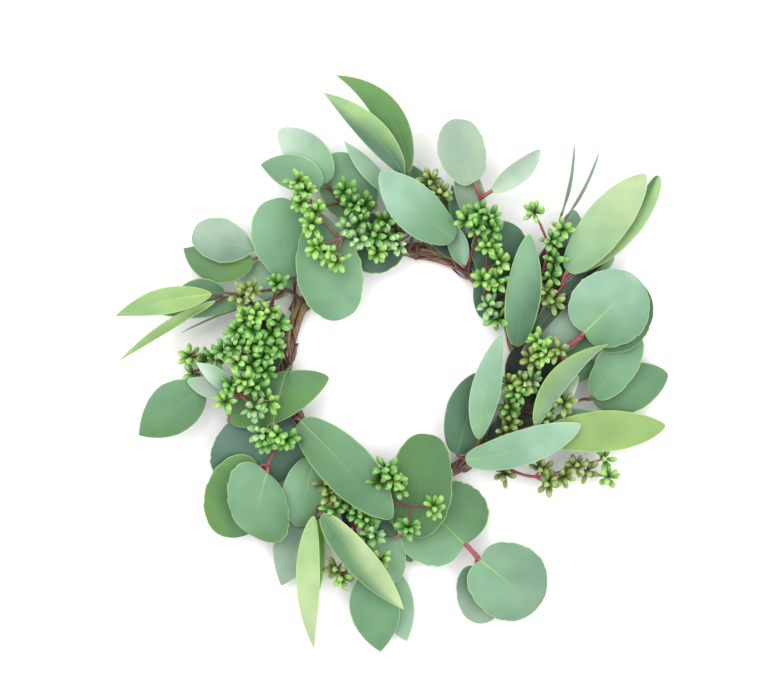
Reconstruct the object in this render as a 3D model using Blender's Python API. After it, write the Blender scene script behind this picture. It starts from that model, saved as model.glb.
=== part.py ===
"""A small wreath of artificial seeded eucalyptus on a ring of twigs, lying flat.

Three twigs are wound together into a ring. Leafy sprays and sprays of bud clusters lie
along the ring, held by a few wire ties, and bend outwards and over each other. The ring's
middle stays open.

Every place below is in millimetres from the ring's centre at the level of the surface:
x to the right, y away from the viewer, and the height above the surface.
"""

import math
from collections import namedtuple

import bmesh
import bpy
from mathutils import Matrix, Vector

MM = 0.001
UP = Vector((0.0, 0.0, 1.0))

# The part's origin is the middle of its outline, seen from above, on the surface.
ORIGIN = Vector((-5.6, 1.2, 0.0))

# The ring: three five-sided twigs wound round one another.
RING_RADIUS = 70.0
TWIG_RADIUS = 1.9
WINDING_RADIUS = 2.45
TWIG_COUNT = 3
WINDING_TURNS = 4
RING_STATIONS = 48
TWIG_SIDES = 5
TWIG_WAVES = 11
TWIG_THINNING = 0.08
RING_HEIGHT = 3.3

# The wire ties, each at an angle round the ring where the winding leaves room below it.
# The twigs rise a little there, over TIE_REACH degrees to either side.
TIE_ANGLES = (82.5, 142.5, 202.5, 262.5, 292.5, 322.5, 352.5)
TIE_SIDES = 12
TIE_WIDTH = 1.8
TIE_THICKNESS = 0.7
TIE_RADIUS = 4.75
TIE_CROWN = 2.7
TIE_LIFT = 0.85
TIE_REACH = 5.5

CLEARANCE = 0.3
STEM_RADIUS = 1.1
STEM_END_RADIUS = 0.7
STEM_SIDES = 4
STEM_OVERRUN = 1.2
STEPS_PER_BEND = 2
LYING_ANGLE = 3.5

# Leaves: half width of the stalk, its thickness and the blade's.
STALK_HALF = 0.65
STALK_THICKNESS = 1.2
STALK_START = 0.55
BLADE_THICKNESS = 0.7
STALK_TURN = math.radians(50)
Form = namedtuple("Form", "swell bluntness intervals wave")
ROUND = Form(0.92, 0.52, 5, 0.030)
OVAL = Form(0.88, 0.60, 5, 0.022)
LONG = Form(0.80, 1.00, 5, 0.020)
WAVES = 1.6
PLACE_PHASE = (0.37, 0.61)
MARGIN_PHASE = 1.3

# A cluster: a small core with a pointed bud on all of its sides but the stalk's.
CORE_RADIUS = 2.0
BUD_WAIST = 5.2
BUD_RADIUS = 2.3
BUD_TIP = 8.0
BUD_VARIATION = 0.10
BUD_PHASES = (2.0, 1.0, 1.7, 2.3)
CLUSTER_SPIN = 2.4
BRANCH_RADIUS = 0.62
BRANCH_NECK = 2.6

Leaf = namedtuple("Leaf", "joint base tip width form fold lean bow arch")
Spray = namedtuple("Spray", "name tone root stem leaves")
Seeds = namedtuple("Seeds", "name root stem clusters")


def leaf(joint, base, tip, width, form=OVAL, fold=6, lean=0, bow=0, arch=3):
    """One leaf: the stem point its stalk leaves, its base and tip, and its form."""
    return Leaf(joint, base, tip, width, form, fold, lean, bow, arch)


# Leafy sprays. A root is an angle round the ring, the side of the twigs the stem lies on
# (0 outside, 90 on top), and the way it runs. Joint 0 is the first point after the root.
SPRAYS = [
    Spray("leaves_top_long", "fresh", (74, 60, 1), [(9, 84, 16), (5, 98, 20), (4, 108, 22)], [
        leaf(2, (4, 116, 24), (-40, 174, 26), 17, LONG, 12, 0, 11, 6),
        leaf(2, (1, 115, 26), (-47, 163, 31), 18, LONG, 24, -8, 4, 6),
        leaf(1, (-6, 102, 21), (-35, 135, 20), 11, LONG, 8, 0, 0, 2),
    ]),
    Spray("leaves_top_broad", "pale", (57.5, 95, 1), [(33, 65, 13), (31, 74, 16)], [
        leaf(1, (31, 76, 23), (-13, 116, 30), 28, OVAL, 8, 0, -2, 2),
        leaf(1, (31, 84, 12), (2, 122, 10), 16, OVAL, 10, 0, 0, 1),
        leaf(0, (36, 66, 17), (29, 86, 19), 10, LONG, 12, 0, 0, 0),
    ]),
    Spray("leaves_top_right", "grey", (44, 40, 1), [(54, 64, 9), (49, 82, 12), (47, 100, 19)], [
        leaf(2, (43, 110, 25), (35, 148, 22), 29, ROUND, 6, 0, 3, 3),
        leaf(1, (44, 89, 16), (36, 122, 18), 18, OVAL, 8, 0, 0, 2),
        leaf(1, (39, 79, 15), (30, 109, 15), 17, LONG, 36, 10, 0, 1),
        leaf(2, (54, 105, 24), (83, 130, 20), 13, OVAL, 8, 0, 2, 3),
    ]),
    Spray("leaves_top_left", "green", (93, 10, 1), [(-22, 80, 12), (-37, 98, 16), (-43, 106, 18)], [
        leaf(2, (-45, 110, 20), (-74, 142, 18), 24, OVAL, 6, 0, 0, 3),
        leaf(2, (-48, 108, 23), (-85, 121, 18), 22, OVAL, 8, 0, 2, 3),
        leaf(0, (-21, 93, 13), (-44, 127, 14), 27, ROUND, 5, 0, 0, 1),
        leaf(1, (-50, 92, 24), (-34, 29, 18), 37, ROUND, 5, 0, 3, 3),
        leaf(0, (0, 76, 13), (-36, 72, 15), 36, ROUND, 3, 0, 0, 1),
    ]),
    Spray("leaves_left_upper_round", "green", (150, 0, -1), [(-65, 48, 8)], [
        leaf(0, (-65, 54, 15), (-78, 100, 20), 32, ROUND, 4, 0, 0, 3),
        leaf(0, (-69, 50, 7), (-93, 55, 6), 22, ROUND, 4, 0, 0, 1),
    ]),
    Spray("leaves_left_upper", "grey", (134, 60, 1), [(-60, 57, 12), (-76, 62, 13), (-86, 66, 16)], [
        leaf(2, (-89, 70, 18), (-126, 80, 14), 23, OVAL, 6, 0, 0, 3),
        leaf(2, (-90, 64, 15), (-133, 71, 9), 24, OVAL, 6, 0, -4, 3),
    ]),
    Spray("leaves_left_long", "fresh", (145, 90, 1), [(-70, 46, 14), (-91, 44, 18), (-108, 41, 20)], [
        leaf(2, (-114, 43, 23), (-173, 30, 12), 16, LONG, 14, 0, 4, 7),
        leaf(2, (-112, 39, 20), (-172, 2, 10), 14, LONG, 42, 6, 3, 3),
        leaf(1, (-94, 39, 14), (-151, 32, 9), 13, LONG, 8, 0, 0, 2),
        leaf(1, (-107, 44, 17), (-133, 47, 14), 14, OVAL, 8, 0, 0, 2),
        leaf(0, (-76, 41, 14), (-133, 20, 12), 11, LONG, 6, 78, 2, 1),
    ]),
    Spray("leaves_left_lower", "pale", (196, 60, -1), [(-84, -16, 12), (-98, -17, 15), (-116, -11, 15)], [
        leaf(1, (-102, -13, 21), (-123, 2, 23), 13, OVAL, 10, 0, 0, 2),
        leaf(1, (-104, -15, 17), (-130, -5, 18), 14, OVAL, 6, 0, 0, 1),
        leaf(2, (-120, -12, 15), (-158, -41, 9), 29, OVAL, 6, 0, 0, 3),
        leaf(1, (-101, -33, 15), (-44, -7, 16), 27, OVAL, 6, 0, -2, 3),
    ]),
    Spray("leaves_lower_left_round", "grey", (212, 10, 1), [(-72, -52, 12), (-81, -60, 16)], [
        leaf(1, (-83, -65, 9), (-95, -29, 10), 50, ROUND, 3, 0, 0, 1),
        leaf(1, (-86, -64, 14), (-105, -102, 12), 32, ROUND, 5, 0, 0, 2),
        leaf(1, (-80, -65, 20), (-78, -105, 18), 37, ROUND, 5, 0, 0, 3),
    ]),
    Spray("leaves_lower_left_hanging", "green", (221, 50, 1), [(-58, -60, 10), (-59, -74, 10)], [
        leaf(0, (-61, -60, 12), (-64, -95, 13), 23, OVAL, 18, 0, 0, 2),
        leaf(1, (-60, -89, 10), (-73, -133, 8), 18, LONG, 8, 0, 0, 2),
    ]),
    Spray("leaves_lower_long", "fresh", (238, 110, 1), [(-42, -70, 13), (-48, -83, 15)], [
        leaf(1, (-53, -90, 19), (-53, -171, 12), 14, LONG, 12, 0, 0, 4),
        leaf(1, (-50, -92, 14), (-50, -134, 12), 7, LONG, 8, 55, 0, 1),
        leaf(1, (-48, -89, 23), (1, -146, 20), 20, LONG, 20, 0, 0, 4),
    ]),
    Spray("leaf_over_ring_lower_left", "green", (205, 90, 1), [(-65, -32, 15)], [
        leaf(0, (-61, -33, 18), (-6, -91, 27), 30, OVAL, 8, 0, -1, 4),
    ]),
    Spray("leaves_bottom", "green", (243, 10, 1), [(-33, -80, 8), (-29, -98, 8), (-20, -116, 9)], [
        leaf(2, (-19, -125, 11), (-13, -172, 8), 29, OVAL, 6, 0, 0, 2),
        leaf(2, (-12, -121, 8), (1, -167, 6), 24, OVAL, 6, 0, 0, 1),
        leaf(1, (-17, -94, 9), (-3, -131, 10), 25, OVAL, 6, 0, 0, 1),
    ]),
    Spray("leaves_bottom_round", "green", (272, 120, 1), [(5, -84, 13), (3, -98, 15.5)], [
        leaf(1, (4, -103, 16), (13, -41, 19), 38, ROUND, 6, 0, 0, 3),
        leaf(1, (-5, -103, 14), (-16, -92, 14), 10, OVAL, 6, 0, 0, 0),
        leaf(1, (0, -104, 9.5), (6, -119, 6), 11, OVAL, 6, 0, 0, 0),
    ]),
    Spray("leaves_bottom_right", "green", (287, 50, 1), [(29, -86, 8), (36, -104, 8), (46, -116, 10)], [
        leaf(1, (38, -108, 10), (9, -80, 11), 56, ROUND, 3, 0, 0, 1),
        leaf(2, (49, -118, 13), (77, -146, 9), 47, ROUND, 4, 0, 0, 3),
        leaf(2, (46, -121, 9), (51, -154, 6), 27, OVAL, 5, 0, 0, 1),
    ]),
    Spray("leaves_right_lower_ring", "pale", (300, 120, 1), [(38, -56, 14)], [
        leaf(0, (46, -44, 21), (61, 22, 25), 18, LONG, 14, 0, -3, 4),
        leaf(0, (37, -49, 15), (47, -5, 16), 27, OVAL, 7, 0, 0, 1),
        leaf(0, (42, -56, 24), (107, -35, 24), 22, LONG, 10, 0, 3, 4),
    ]),
    Spray("leaves_right_lower", "fresh", (328, 0, 1), [(71, -37, 14), (79, -39, 18)], [
        leaf(1, (84, -41, 20), (160, -35, 12), 23, LONG, 10, 0, 2, 4),
        leaf(1, (80, -42, 14), (116, -31, 14), 12, LONG, 6, 0, 0, 1),
        leaf(1, (80, -37, 24), (123, 14, 26), 14, LONG, 24, 10, -12, 3),
        leaf(0, (84, -27, 16), (104, -4, 18), 14, OVAL, 8, 0, 0, 1),
    ]),
    Spray("leaves_right", "green", (338, 30, 1), [(81, -22, 9), (98, -23, 10), (110, -20, 11)], [
        leaf(2, (115, -18, 15), (142, 19, 14), 23, OVAL, 6, 0, 2, 2),
        leaf(2, (115, -20, 11), (162, -5, 7), 28, OVAL, 6, 0, 0, 2),
        leaf(1, (97, -9, 11), (119, 2, 11), 12, OVAL, 6, 0, 0, 0),
    ]),
    Spray("leaves_right_upper", "pale", (3, 10, 1), [(83, 13, 12), (96, 10, 16), (107, 17, 20)], [
        leaf(2, (110, 21, 23), (143, 50, 21), 45, ROUND, 4, 0, 0, 3),
        leaf(2, (111, 18, 18), (149, 40, 14), 46, ROUND, 4, 0, 0, 2),
        leaf(0, (82, 16, 14), (109, 34, 15), 20, OVAL, 8, 0, 0, 1),
    ]),
    Spray("leaves_upper_right_large", "fresh", (11, 45, 1), [(78, 26, 13), (88, 36, 16), (96, 48, 19)], [
        leaf(2, (99, 57, 22), (146, 115, 22), 27, OVAL, 8, 0, 0, 4),
        leaf(2, (103, 53, 18), (160, 116, 15), 24, LONG, 14, 0, 2, 4),
        leaf(2, (97, 60, 14), (104, 94, 13), 18, OVAL, 6, 0, 0, 1),
    ]),
    Spray("leaves_upper_right_dark", "green", (35, 15, -1), [(66, 40, 11), (69, 27, 14)], [
        leaf(0, (62, 51, 15), (57, 87, 17), 36, ROUND, 4, 0, 0, 2),
        leaf(0, (60, 43, 12), (43, 43, 11), 29, ROUND, 3, 0, 0, 0),
        leaf(1, (69, 34, 24), (76, 79, 26), 19, OVAL, 12, 0, 0, 3),
    ]),
    Spray("leaves_upper_right_edge", "grey", (19, 75, 1), [(80, 42, 12), (92, 66, 16), (95, 82, 20)], [
        leaf(2, (96, 92, 22), (103, 135, 24), 8, LONG, 4, 80, 2, 1),
        leaf(2, (100, 91, 20), (119, 131, 20), 8, LONG, 4, 80, 2, 1),
    ]),
]

# Sprays of bud clusters. Each cluster is a branch's stem point and its own middle.
SEEDS = [
    Seeds("seeds_top_left", (85, 95, 1), [(6, 80, 18), (-8, 82, 22), (-20, 83, 26), (-36, 77, 29),
                                          (-46, 86, 31), (-53, 97, 31)], [
        (5, (-62, 110, 33)), (5, (-60, 98, 34)), (4, (-53, 84, 35)), (3, (-50, 71, 34)),
        (3, (-39, 63, 33)), (2, (-26, 76, 32)), (2, (-34, 104, 30)), (2, (-22, 96, 29)),
        (1, (-15, 68, 26)), (1, (-10, 86, 28)),
        (0, (-3, 73, 24)),
    ]),
    Seeds("seeds_top_small", (66, 25, 1), [(23, 78, 16), (22, 93, 20)], [
        (1, (17, 111, 21.5)), (1, (24, 103, 22)),
    ]),
    Seeds("seeds_top_right", (52, 75, 1), [(41, 64, 20), (44, 76, 26)], [
        (1, (38, 87, 30)), (1, (52, 89, 30)),
    ]),
    Seeds("seeds_upper_right_ring", (24, 96, 1), [(57, 29, 16), (50, 42, 21), (50, 58, 25)], [
        (2, (51, 71, 28)), (2, (58, 62, 29)), (1, (49, 51, 29)), (0, (52, 36, 22)),
    ]),
    Seeds("seeds_upper_right", (29.5, 352, 1), [(74, 45, 13), (84, 56, 19), (87, 72, 23), (83, 84, 25)], [
        (3, (79, 94, 27)), (3, (84, 97, 33)), (2, (94, 82, 28.5)), (2, (88, 77, 31)),
        (1, (91, 62, 25)), (0, (86, 46, 22)),
    ]),
    Seeds("seeds_right", (359, 110, 1), [(75, 5, 16), (81, 13, 20)], [
        (1, (83, 18, 27)), (0, (78, 4, 25)), (1, (93, 10, 27)),
    ]),
    Seeds("seeds_right_ring", (346.5, 80, -1), [(67, -18, 17)], [
        (0, (63, -11, 22)), (0, (62, -24, 23)), (0, (79, -8, 24)),
    ]),
    Seeds("seeds_right_ring_lower", (329, 115, -1), [(58, -40, 14)], [(0, (62, -40, 18))]),
    Seeds("seeds_right_outer", (341, 50, -1), [(80, -28, 19), (90, -25, 21)], [(1, (97, -22, 25))]),
    Seeds("seeds_lower_right", (316, 30, -1), [(60, -60, 8), (80, -67, 10), (102, -62, 12)], [
        (0, (63, -68, 11)), (1, (88, -71, 13)), (2, (105, -60, 15)), (2, (122, -56, 14)),
        (2, (124, -67, 13)),
    ]),
    Seeds("seeds_bottom", (258, 70, 1), [(-14, -76, 20), (-7, -81, 25), (5, -84, 26)], [
        (0, (-10, -61, 34)), (1, (-3, -72, 30)), (2, (19, -84, 30.5)), (2, (4, -96, 29)),
    ]),
    Seeds("seeds_left_lower", (179, 115, 1), [(-68, -1, 17), (-71, -8, 24), (-77, -33, 26)], [
        (2, (-80, -45, 27)), (2, (-69, -44, 26)),
    ]),
    Seeds("seeds_lower_left_inner", (230, 80, 1), [(-47, -66, 14)], [
        (0, (-47, -77, 24)),
    ]),
    Seeds("seeds_lower", (248, 30, 1), [(-26, -80, 14), (-23, -94, 15), (-24, -106, 14)], [
        (0, (-27, -88, 19)), (1, (-17, -101, 19)), (2, (-14, -112, 20)), (2, (-39, -122, 13)),
    ]),
    Seeds("seeds_left_outer", (161, 45, -1), [(-78, 36, 17), (-90, 37, 22)], [
        (1, (-96, 41, 28)), (0, (-75, 49, 25)),
    ]),
    Seeds("seeds_left_upper", (169, 75, -1), [(-76, 21, 16), (-84, 24, 20)], [
        (1, (-88, 31, 26)), (0, (-74, 26, 25)), (1, (-98, 21, 28)),
    ]),
    Seeds("seeds_left_middle", (181, 5, -1), [(-80, 10, 14), (-94, 12, 18), (-108, 8, 18)], [
        (0, (-76, 11, 23)), (1, (-90, 14, 27)), (2, (-107, 9, 28)), (1, (-98, 3, 30)),
        (2, (-128, 6, 11)), (2, (-126, -5, 9)),
    ]),
    Seeds("seeds_left", (188, 30, -1), [(-80, -1, 15), (-92, -6, 20), (-98, -16, 24)], [
        (0, (-82, -3, 25)), (1, (-94, -8, 31)), (2, (-105, -21, 30)),
        (2, (-89, -24, 28)),
    ]),
]

# Colours of the plain materials: bark, wire, bud green, and four greens of leaves.
COLOURS = {
    "bark": (0.17, 0.10, 0.06),
    "wire": (0.13, 0.07, 0.05),
    "bud": (0.28, 0.50, 0.12),
    "fresh": (0.36, 0.58, 0.24),
    "pale": (0.42, 0.62, 0.46),
    "grey": (0.34, 0.47, 0.38),
    "green": (0.17, 0.38, 0.20),
}
ROUGHNESS = {"bark": 0.85, "wire": 0.6, "bud": 0.5}
LEAF_ROUGHNESS = 0.55


def clear_scene():
    for item in list(bpy.data.objects):
        bpy.data.objects.remove(item, do_unlink=True)


def material(name):
    """A Principled material in one of the named colours, made once."""
    found = bpy.data.materials.get(name)
    if found:
        return found
    made = bpy.data.materials.new(name)
    made.use_nodes = True
    shader = made.node_tree.nodes["Principled BSDF"]
    shader.inputs["Base Color"].default_value = (*COLOURS[name], 1.0)
    shader.inputs["Roughness"].default_value = ROUGHNESS.get(name, LEAF_ROUGHNESS)
    shader.inputs["Metallic"].default_value = 0.0
    return made


def new_object(name, points, faces):
    """An object from points in millimetres, moved from the ring's centre to the origin."""
    mesh = bpy.data.meshes.new(name)
    mesh.from_pydata([(Vector(p) - ORIGIN) * MM for p in points], [], faces)
    mesh.validate()
    made = bpy.data.objects.new(name, mesh)
    bpy.context.scene.collection.objects.link(made)
    return made


def quad(a, b, c, d):
    """Two triangles for one four-sided face, always cut from its first corner."""
    return [(a, b, c), (a, c, d)]


def lift_at_ties(degrees):
    """How far the twigs rise to leave room for the ties below them, in millimetres."""
    lift = 0.0
    for tie in TIE_ANGLES:
        apart = (degrees - tie + 180.0) % 360.0 - 180.0
        lift += TIE_LIFT * math.exp(-((apart / TIE_REACH) ** 2))
    return lift


def around_ring(degrees, side, distance):
    """The point at a distance from the twigs' common middle, side 0 being outwards."""
    turn, tilt = math.radians(degrees), math.radians(side)
    radius = RING_RADIUS + distance * math.cos(tilt)
    height = RING_HEIGHT + lift_at_ties(degrees) + distance * math.sin(tilt)
    return Vector((radius * math.cos(turn), radius * math.sin(turn), height))


def winding_side(index, degrees):
    """The side of the twigs' common middle that one twig has come round to."""
    return WINDING_TURNS * degrees + 360.0 * index / TWIG_COUNT


def make_twig(index):
    """One twig: a five-sided section with a flat side down, carried round the winding.

    Where the winding brings it lowest, its underside is cut off level with the surface,
    which makes the flats that the wreath rests on.
    """
    points = []
    for station in range(RING_STATIONS):
        degrees = 360.0 * station / RING_STATIONS
        centre = around_ring(degrees, winding_side(index, degrees), WINDING_RADIUS)
        wave = math.sin(math.radians(TWIG_WAVES * degrees) + 2.0 * index)
        radius = TWIG_RADIUS * (1.0 - TWIG_THINNING * 0.5 * (1.0 + wave))
        outward = Vector((math.cos(math.radians(degrees)), math.sin(math.radians(degrees)), 0.0))
        for side in range(TWIG_SIDES):
            angle = 2.0 * math.pi * (side + 0.5) / TWIG_SIDES - math.pi / 2.0
            point = centre + radius * (math.cos(angle) * outward + math.sin(angle) * UP)
            point.z = max(point.z, 0.0)
            points.append(point)
    faces = []
    for station in range(RING_STATIONS):
        here, there = station * TWIG_SIDES, (station + 1) % RING_STATIONS * TWIG_SIDES
        for side in range(TWIG_SIDES):
            after = (side + 1) % TWIG_SIDES
            faces += quad(here + side, there + side, there + after, here + after)
    twig = new_object(f"ring_twig_{index + 1}", points, faces)
    twig.data.materials.append(material("bark"))
    return twig


def make_tie(number, degrees):
    """A band of wire round the twigs, crowned where a stem lies on them, flat below."""
    turn = math.radians(degrees)
    along = Vector((-math.sin(turn), math.cos(turn), 0.0)) * TIE_WIDTH / 2.0
    lowest = {0.0: CLEARANCE + TIE_THICKNESS, TIE_THICKNESS: CLEARANCE}
    points = []
    for side in range(TIE_SIDES):
        angle = 360.0 * side / TIE_SIDES
        crown = max(0.0, math.sin(math.radians(angle))) ** 2 * TIE_CROWN
        for thickness, floor in lowest.items():
            point = around_ring(degrees, angle, TIE_RADIUS + crown + thickness)
            point.z = max(point.z, floor)
            points += [point - along, point + along]
    faces = []
    for side in range(TIE_SIDES):
        here, there = side * 4, (side + 1) % TIE_SIDES * 4
        faces += quad(here, there, there + 1, here + 1)
        faces += quad(here + 2, here + 3, there + 3, there + 2)
        faces += quad(here, here + 2, there + 2, there)
        faces += quad(here + 1, there + 1, there + 3, here + 3)
    tie = new_object(f"wire_tie_{number}", points, faces)
    tie.data.materials.append(material("wire"))
    return tie


def stem_root(root):
    """Two points where a stem lies on the crest of a twig, along the way it runs."""
    degrees, wanted, way = root
    distance = WINDING_RADIUS + TWIG_RADIUS + CLEARANCE + STEM_RADIUS

    def off(index):
        return abs((winding_side(index, degrees) - wanted + 180.0) % 360.0 - 180.0)

    index = min(range(TWIG_COUNT), key=off)
    angles = (degrees - way * LYING_ANGLE, degrees)
    return [around_ring(a, winding_side(index, a), distance) for a in angles]


def flowing(points, first_heading):
    """A smooth curve through points: it leaves along a heading and bends evenly on."""
    points = [Vector(p) for p in points]
    last = len(points) - 1
    slopes = []
    for i, point in enumerate(points):
        if i == 0:
            slopes.append(first_heading * (points[1] - point).length)
        elif i == last:
            slopes.append(point - points[i - 1])
        else:
            slopes.append((points[i + 1] - points[i - 1]) / 2.0)
    curve = [points[0]]
    for i in range(last):
        for step in range(1, STEPS_PER_BEND + 1):
            t = step / STEPS_PER_BEND
            a, b = 2 * t**3 - 3 * t**2 + 1, t**3 - 2 * t**2 + t
            c, d = -2 * t**3 + 3 * t**2, t**3 - t**2
            curve.append(a * points[i] + b * slopes[i] + c * points[i + 1] + d * slopes[i + 1])
    return curve


def tube(path, first_radius, last_radius, sides):
    """A closed tapering rod along a path, its section kept square to the path."""
    points, faces = [], []
    across = None
    for i, centre in enumerate(path):
        ahead = path[min(i + 1, len(path) - 1)] - path[max(i - 1, 0)]
        ahead.normalize()
        if across is None:
            across = ahead.cross(UP) if abs(ahead.z) < 0.95 else ahead.cross(Vector((1, 0, 0)))
        across = (across - ahead * across.dot(ahead)).normalized()
        upward = across.cross(ahead)
        share = i / (len(path) - 1)
        radius = first_radius + (last_radius - first_radius) * share
        for side in range(sides):
            angle = 2.0 * math.pi * side / sides
            points.append(centre + radius * (math.cos(angle) * across + math.sin(angle) * upward))
    for i in range(len(path) - 1):
        here, there = i * sides, (i + 1) * sides
        for side in range(sides):
            after = (side + 1) % sides
            faces += quad(here + side, there + side, there + after, here + after)
    end = (len(path) - 1) * sides
    for side in range(1, sides - 1):
        faces.append((0, side, side + 1))
        faces.append((end, end + side + 1, end + side))
    return points, faces


def make_stem(root, points):
    """The stem's rod, from where it lies on the ring to just past its last joint."""
    lying = stem_root(root)
    heading = (lying[1] - lying[0]).normalized()
    path = [lying[0]] + flowing([lying[1]] + points, heading)
    path[-1] = path[-1] + STEM_OVERRUN * (path[-1] - path[-2]).normalized()
    return tube(path, STEM_RADIUS, STEM_END_RADIUS, STEM_SIDES)


def bezier(a, b, c, t):
    """A point of the curve from a to c that is drawn towards b, and its direction."""
    place = (1 - t) ** 2 * a + 2 * t * (1 - t) * b + t**2 * c
    return place, (2 * (1 - t) * (b - a) + 2 * t * (c - b)).normalized()


def leaf_strip(joint, item):
    """The leaf's stations from the stem to the tip.

    Each is its middle, its direction, its half width, its thickness, and how much of the
    fold and the edge's wave it has. The blade's half width is half the leaf's width times
    sin(pi * t ** swell) ** bluntness, t running from base to tip.
    """
    base, tip = Vector(item.base), Vector(item.tip)
    right = (tip - base).cross(UP).normalized()
    pull = (base + tip) / 2.0 + 2.0 * (item.bow * right + item.arch * UP)
    heading = (pull - base).normalized()
    stalk = base - joint
    stations = []
    steps = 1 if stalk.angle(heading) < STALK_TURN else 2
    bend = base - heading * stalk.length / 2.0 if steps == 2 else (joint + base) / 2.0
    for step in range(steps):
        place, direction = bezier(joint, bend, base, step / steps)
        size = STALK_START if step == 0 else 1.0
        stations.append((place, direction, STALK_HALF * size, STALK_THICKNESS * size, 0.0, 0.0))
    intervals = item.form.intervals
    for i in range(intervals + 1):
        t = (1.0 - math.cos(math.pi * i / intervals)) / 2.0
        place, direction = bezier(base, pull, tip, t)
        half = item.width / 2.0 * math.sin(math.pi * min(t, 1.0) ** item.form.swell) ** (
            item.form.bluntness) if 0 < i < intervals else STALK_HALF
        thickness = STALK_THICKNESS if i == 0 else BLADE_THICKNESS
        stations.append((place, direction, half, thickness, min(1.0, i), t))
    return stations


def level_sides(stations, first_blade):
    """The sideways direction at each station: level on the blade, carried back along the stalk."""
    sides = [station[1].cross(UP).normalized() for station in stations]
    for i in reversed(range(first_blade)):
        turn = stations[i + 1][1].rotation_difference(stations[i][1])
        sides[i] = turn @ sides[i + 1]
    return sides


def leaf_mesh(joint, item):
    """A leaf as one closed body: margin, midrib and margin on both faces.

    Each half of the blade is turned up from flat by the fold, the whole blade leans about
    its midrib, and the margins rise and fall in a wave whose start follows from where the
    leaf grows. Both faces are cut into triangles alike.
    """
    points = []
    lean = math.radians(item.lean)
    start = PLACE_PHASE[0] * item.base[0] + PLACE_PHASE[1] * item.base[1]
    height = item.form.wave * item.width
    stations = leaf_strip(joint, item)
    sides = level_sides(stations, len(stations) - item.form.intervals - 1)
    for (place, direction, half, thickness, blade, t), flat_right in zip(stations, sides):
        flat_up = flat_right.cross(direction)
        right = math.cos(lean) * flat_right - math.sin(lean) * flat_up
        upward = math.cos(lean) * flat_up + math.sin(lean) * flat_right
        fold = math.radians(item.fold) * blade
        for face in (1.0, -1.0):
            for s in (-1.0, 0.0, 1.0):
                swing = height * abs(s) * math.sin(math.pi * t) * math.sin(
                    2.0 * math.pi * WAVES * t + start + MARGIN_PHASE * s)
                out = half * s * math.cos(fold) * right + half * abs(s) * math.sin(fold) * upward
                normal = math.cos(fold) * upward - s * math.sin(fold) * right
                if s == 0.0:
                    normal = upward / math.cos(fold)
                points.append(place + out + swing * upward + face * thickness / 2.0 * normal)
    faces = [(0, 1, 4), (0, 4, 3), (1, 2, 5), (1, 5, 4)]
    last = len(stations) - 1
    for i in range(last):
        a, b = i * 6, (i + 1) * 6
        for k in (0, 1):
            faces += [(a + k, b + k, b + k + 1), (a + k, b + k + 1, a + k + 1)]
            faces += [(a + 3 + k, b + 4 + k, b + 3 + k), (a + 3 + k, a + 4 + k, b + 4 + k)]
        faces += quad(a, a + 3, b + 3, b)
        faces += quad(a + 2, b + 2, b + 5, a + 5)
    end = last * 6
    faces += [(end, end + 4, end + 1), (end, end + 3, end + 4)]
    faces += [(end + 1, end + 5, end + 2), (end + 1, end + 4, end + 5)]
    return points, faces


def branch_faces(points, face, joint, middle):
    """A three-sided branch drawn out of a core's back face, as far as the stem's middle."""
    heading = (joint - middle).normalized()
    arms = []
    for corner in face:
        arm = points[corner] - middle
        arms.append((arm - heading * arm.dot(heading)).normalized())
    neck = len(points)
    points += [middle + heading * BRANCH_NECK + arm * BRANCH_RADIUS for arm in arms]
    points += [joint + arm * BRANCH_RADIUS / 2.0 for arm in arms]
    faces = [(neck + 3, neck + 4, neck + 5)]
    for k in range(3):
        n = (k + 1) % 3
        faces += quad(face[k], face[n], neck + n, neck + k)
        faces += quad(neck + k, neck + n, neck + 3 + n, neck + 3 + k)
    return faces


def cluster_mesh(joint, middle, number):
    """A cluster of seven buds and its branch.

    The core is an octahedron turned so that one face looks back along the branch. Every
    other face is drawn out into a three-sided bud: a waist and then a point.
    """
    middle = Vector(middle)
    back = (joint - middle).normalized()
    turned = Vector((1, 1, 1)).normalized().rotation_difference(back).to_matrix()
    spin = Matrix.Rotation(CLUSTER_SPIN * number, 3, back)
    corners = [Vector(c) * CORE_RADIUS for c in (
        (1, 0, 0), (0, 1, 0), (0, 0, 1), (-1, 0, 0), (0, -1, 0), (0, 0, -1))]
    points = [middle + spin @ (turned @ corner) for corner in corners]
    faces = []
    for x in (0, 3):
        for y in (1, 4):
            for z in (2, 5):
                odd = (x == 3) ^ (y == 4) ^ (z == 5)
                face = (x, z, y) if odd else (x, y, z)
                if face == (0, 1, 2):
                    faces += branch_faces(points, face, joint, middle)
                    continue
                heading = sum((points[c] - middle for c in face), Vector()).normalized()
                phase = sum(p * k for p, k in zip(BUD_PHASES, (number, x, y, z)))
                share = 1.0 + BUD_VARIATION * math.sin(phase)
                waist = len(points)
                for corner in face:
                    arm = points[corner] - middle
                    arm = (arm - heading * arm.dot(heading)).normalized()
                    points.append(middle + heading * BUD_WAIST * share + arm * BUD_RADIUS)
                points.append(middle + heading * BUD_TIP * share)
                for k in range(3):
                    n = (k + 1) % 3
                    faces += quad(face[k], face[n], waist + n, waist + k)
                    faces.append((waist + k, waist + n, waist + 3))
    return points, faces


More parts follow.
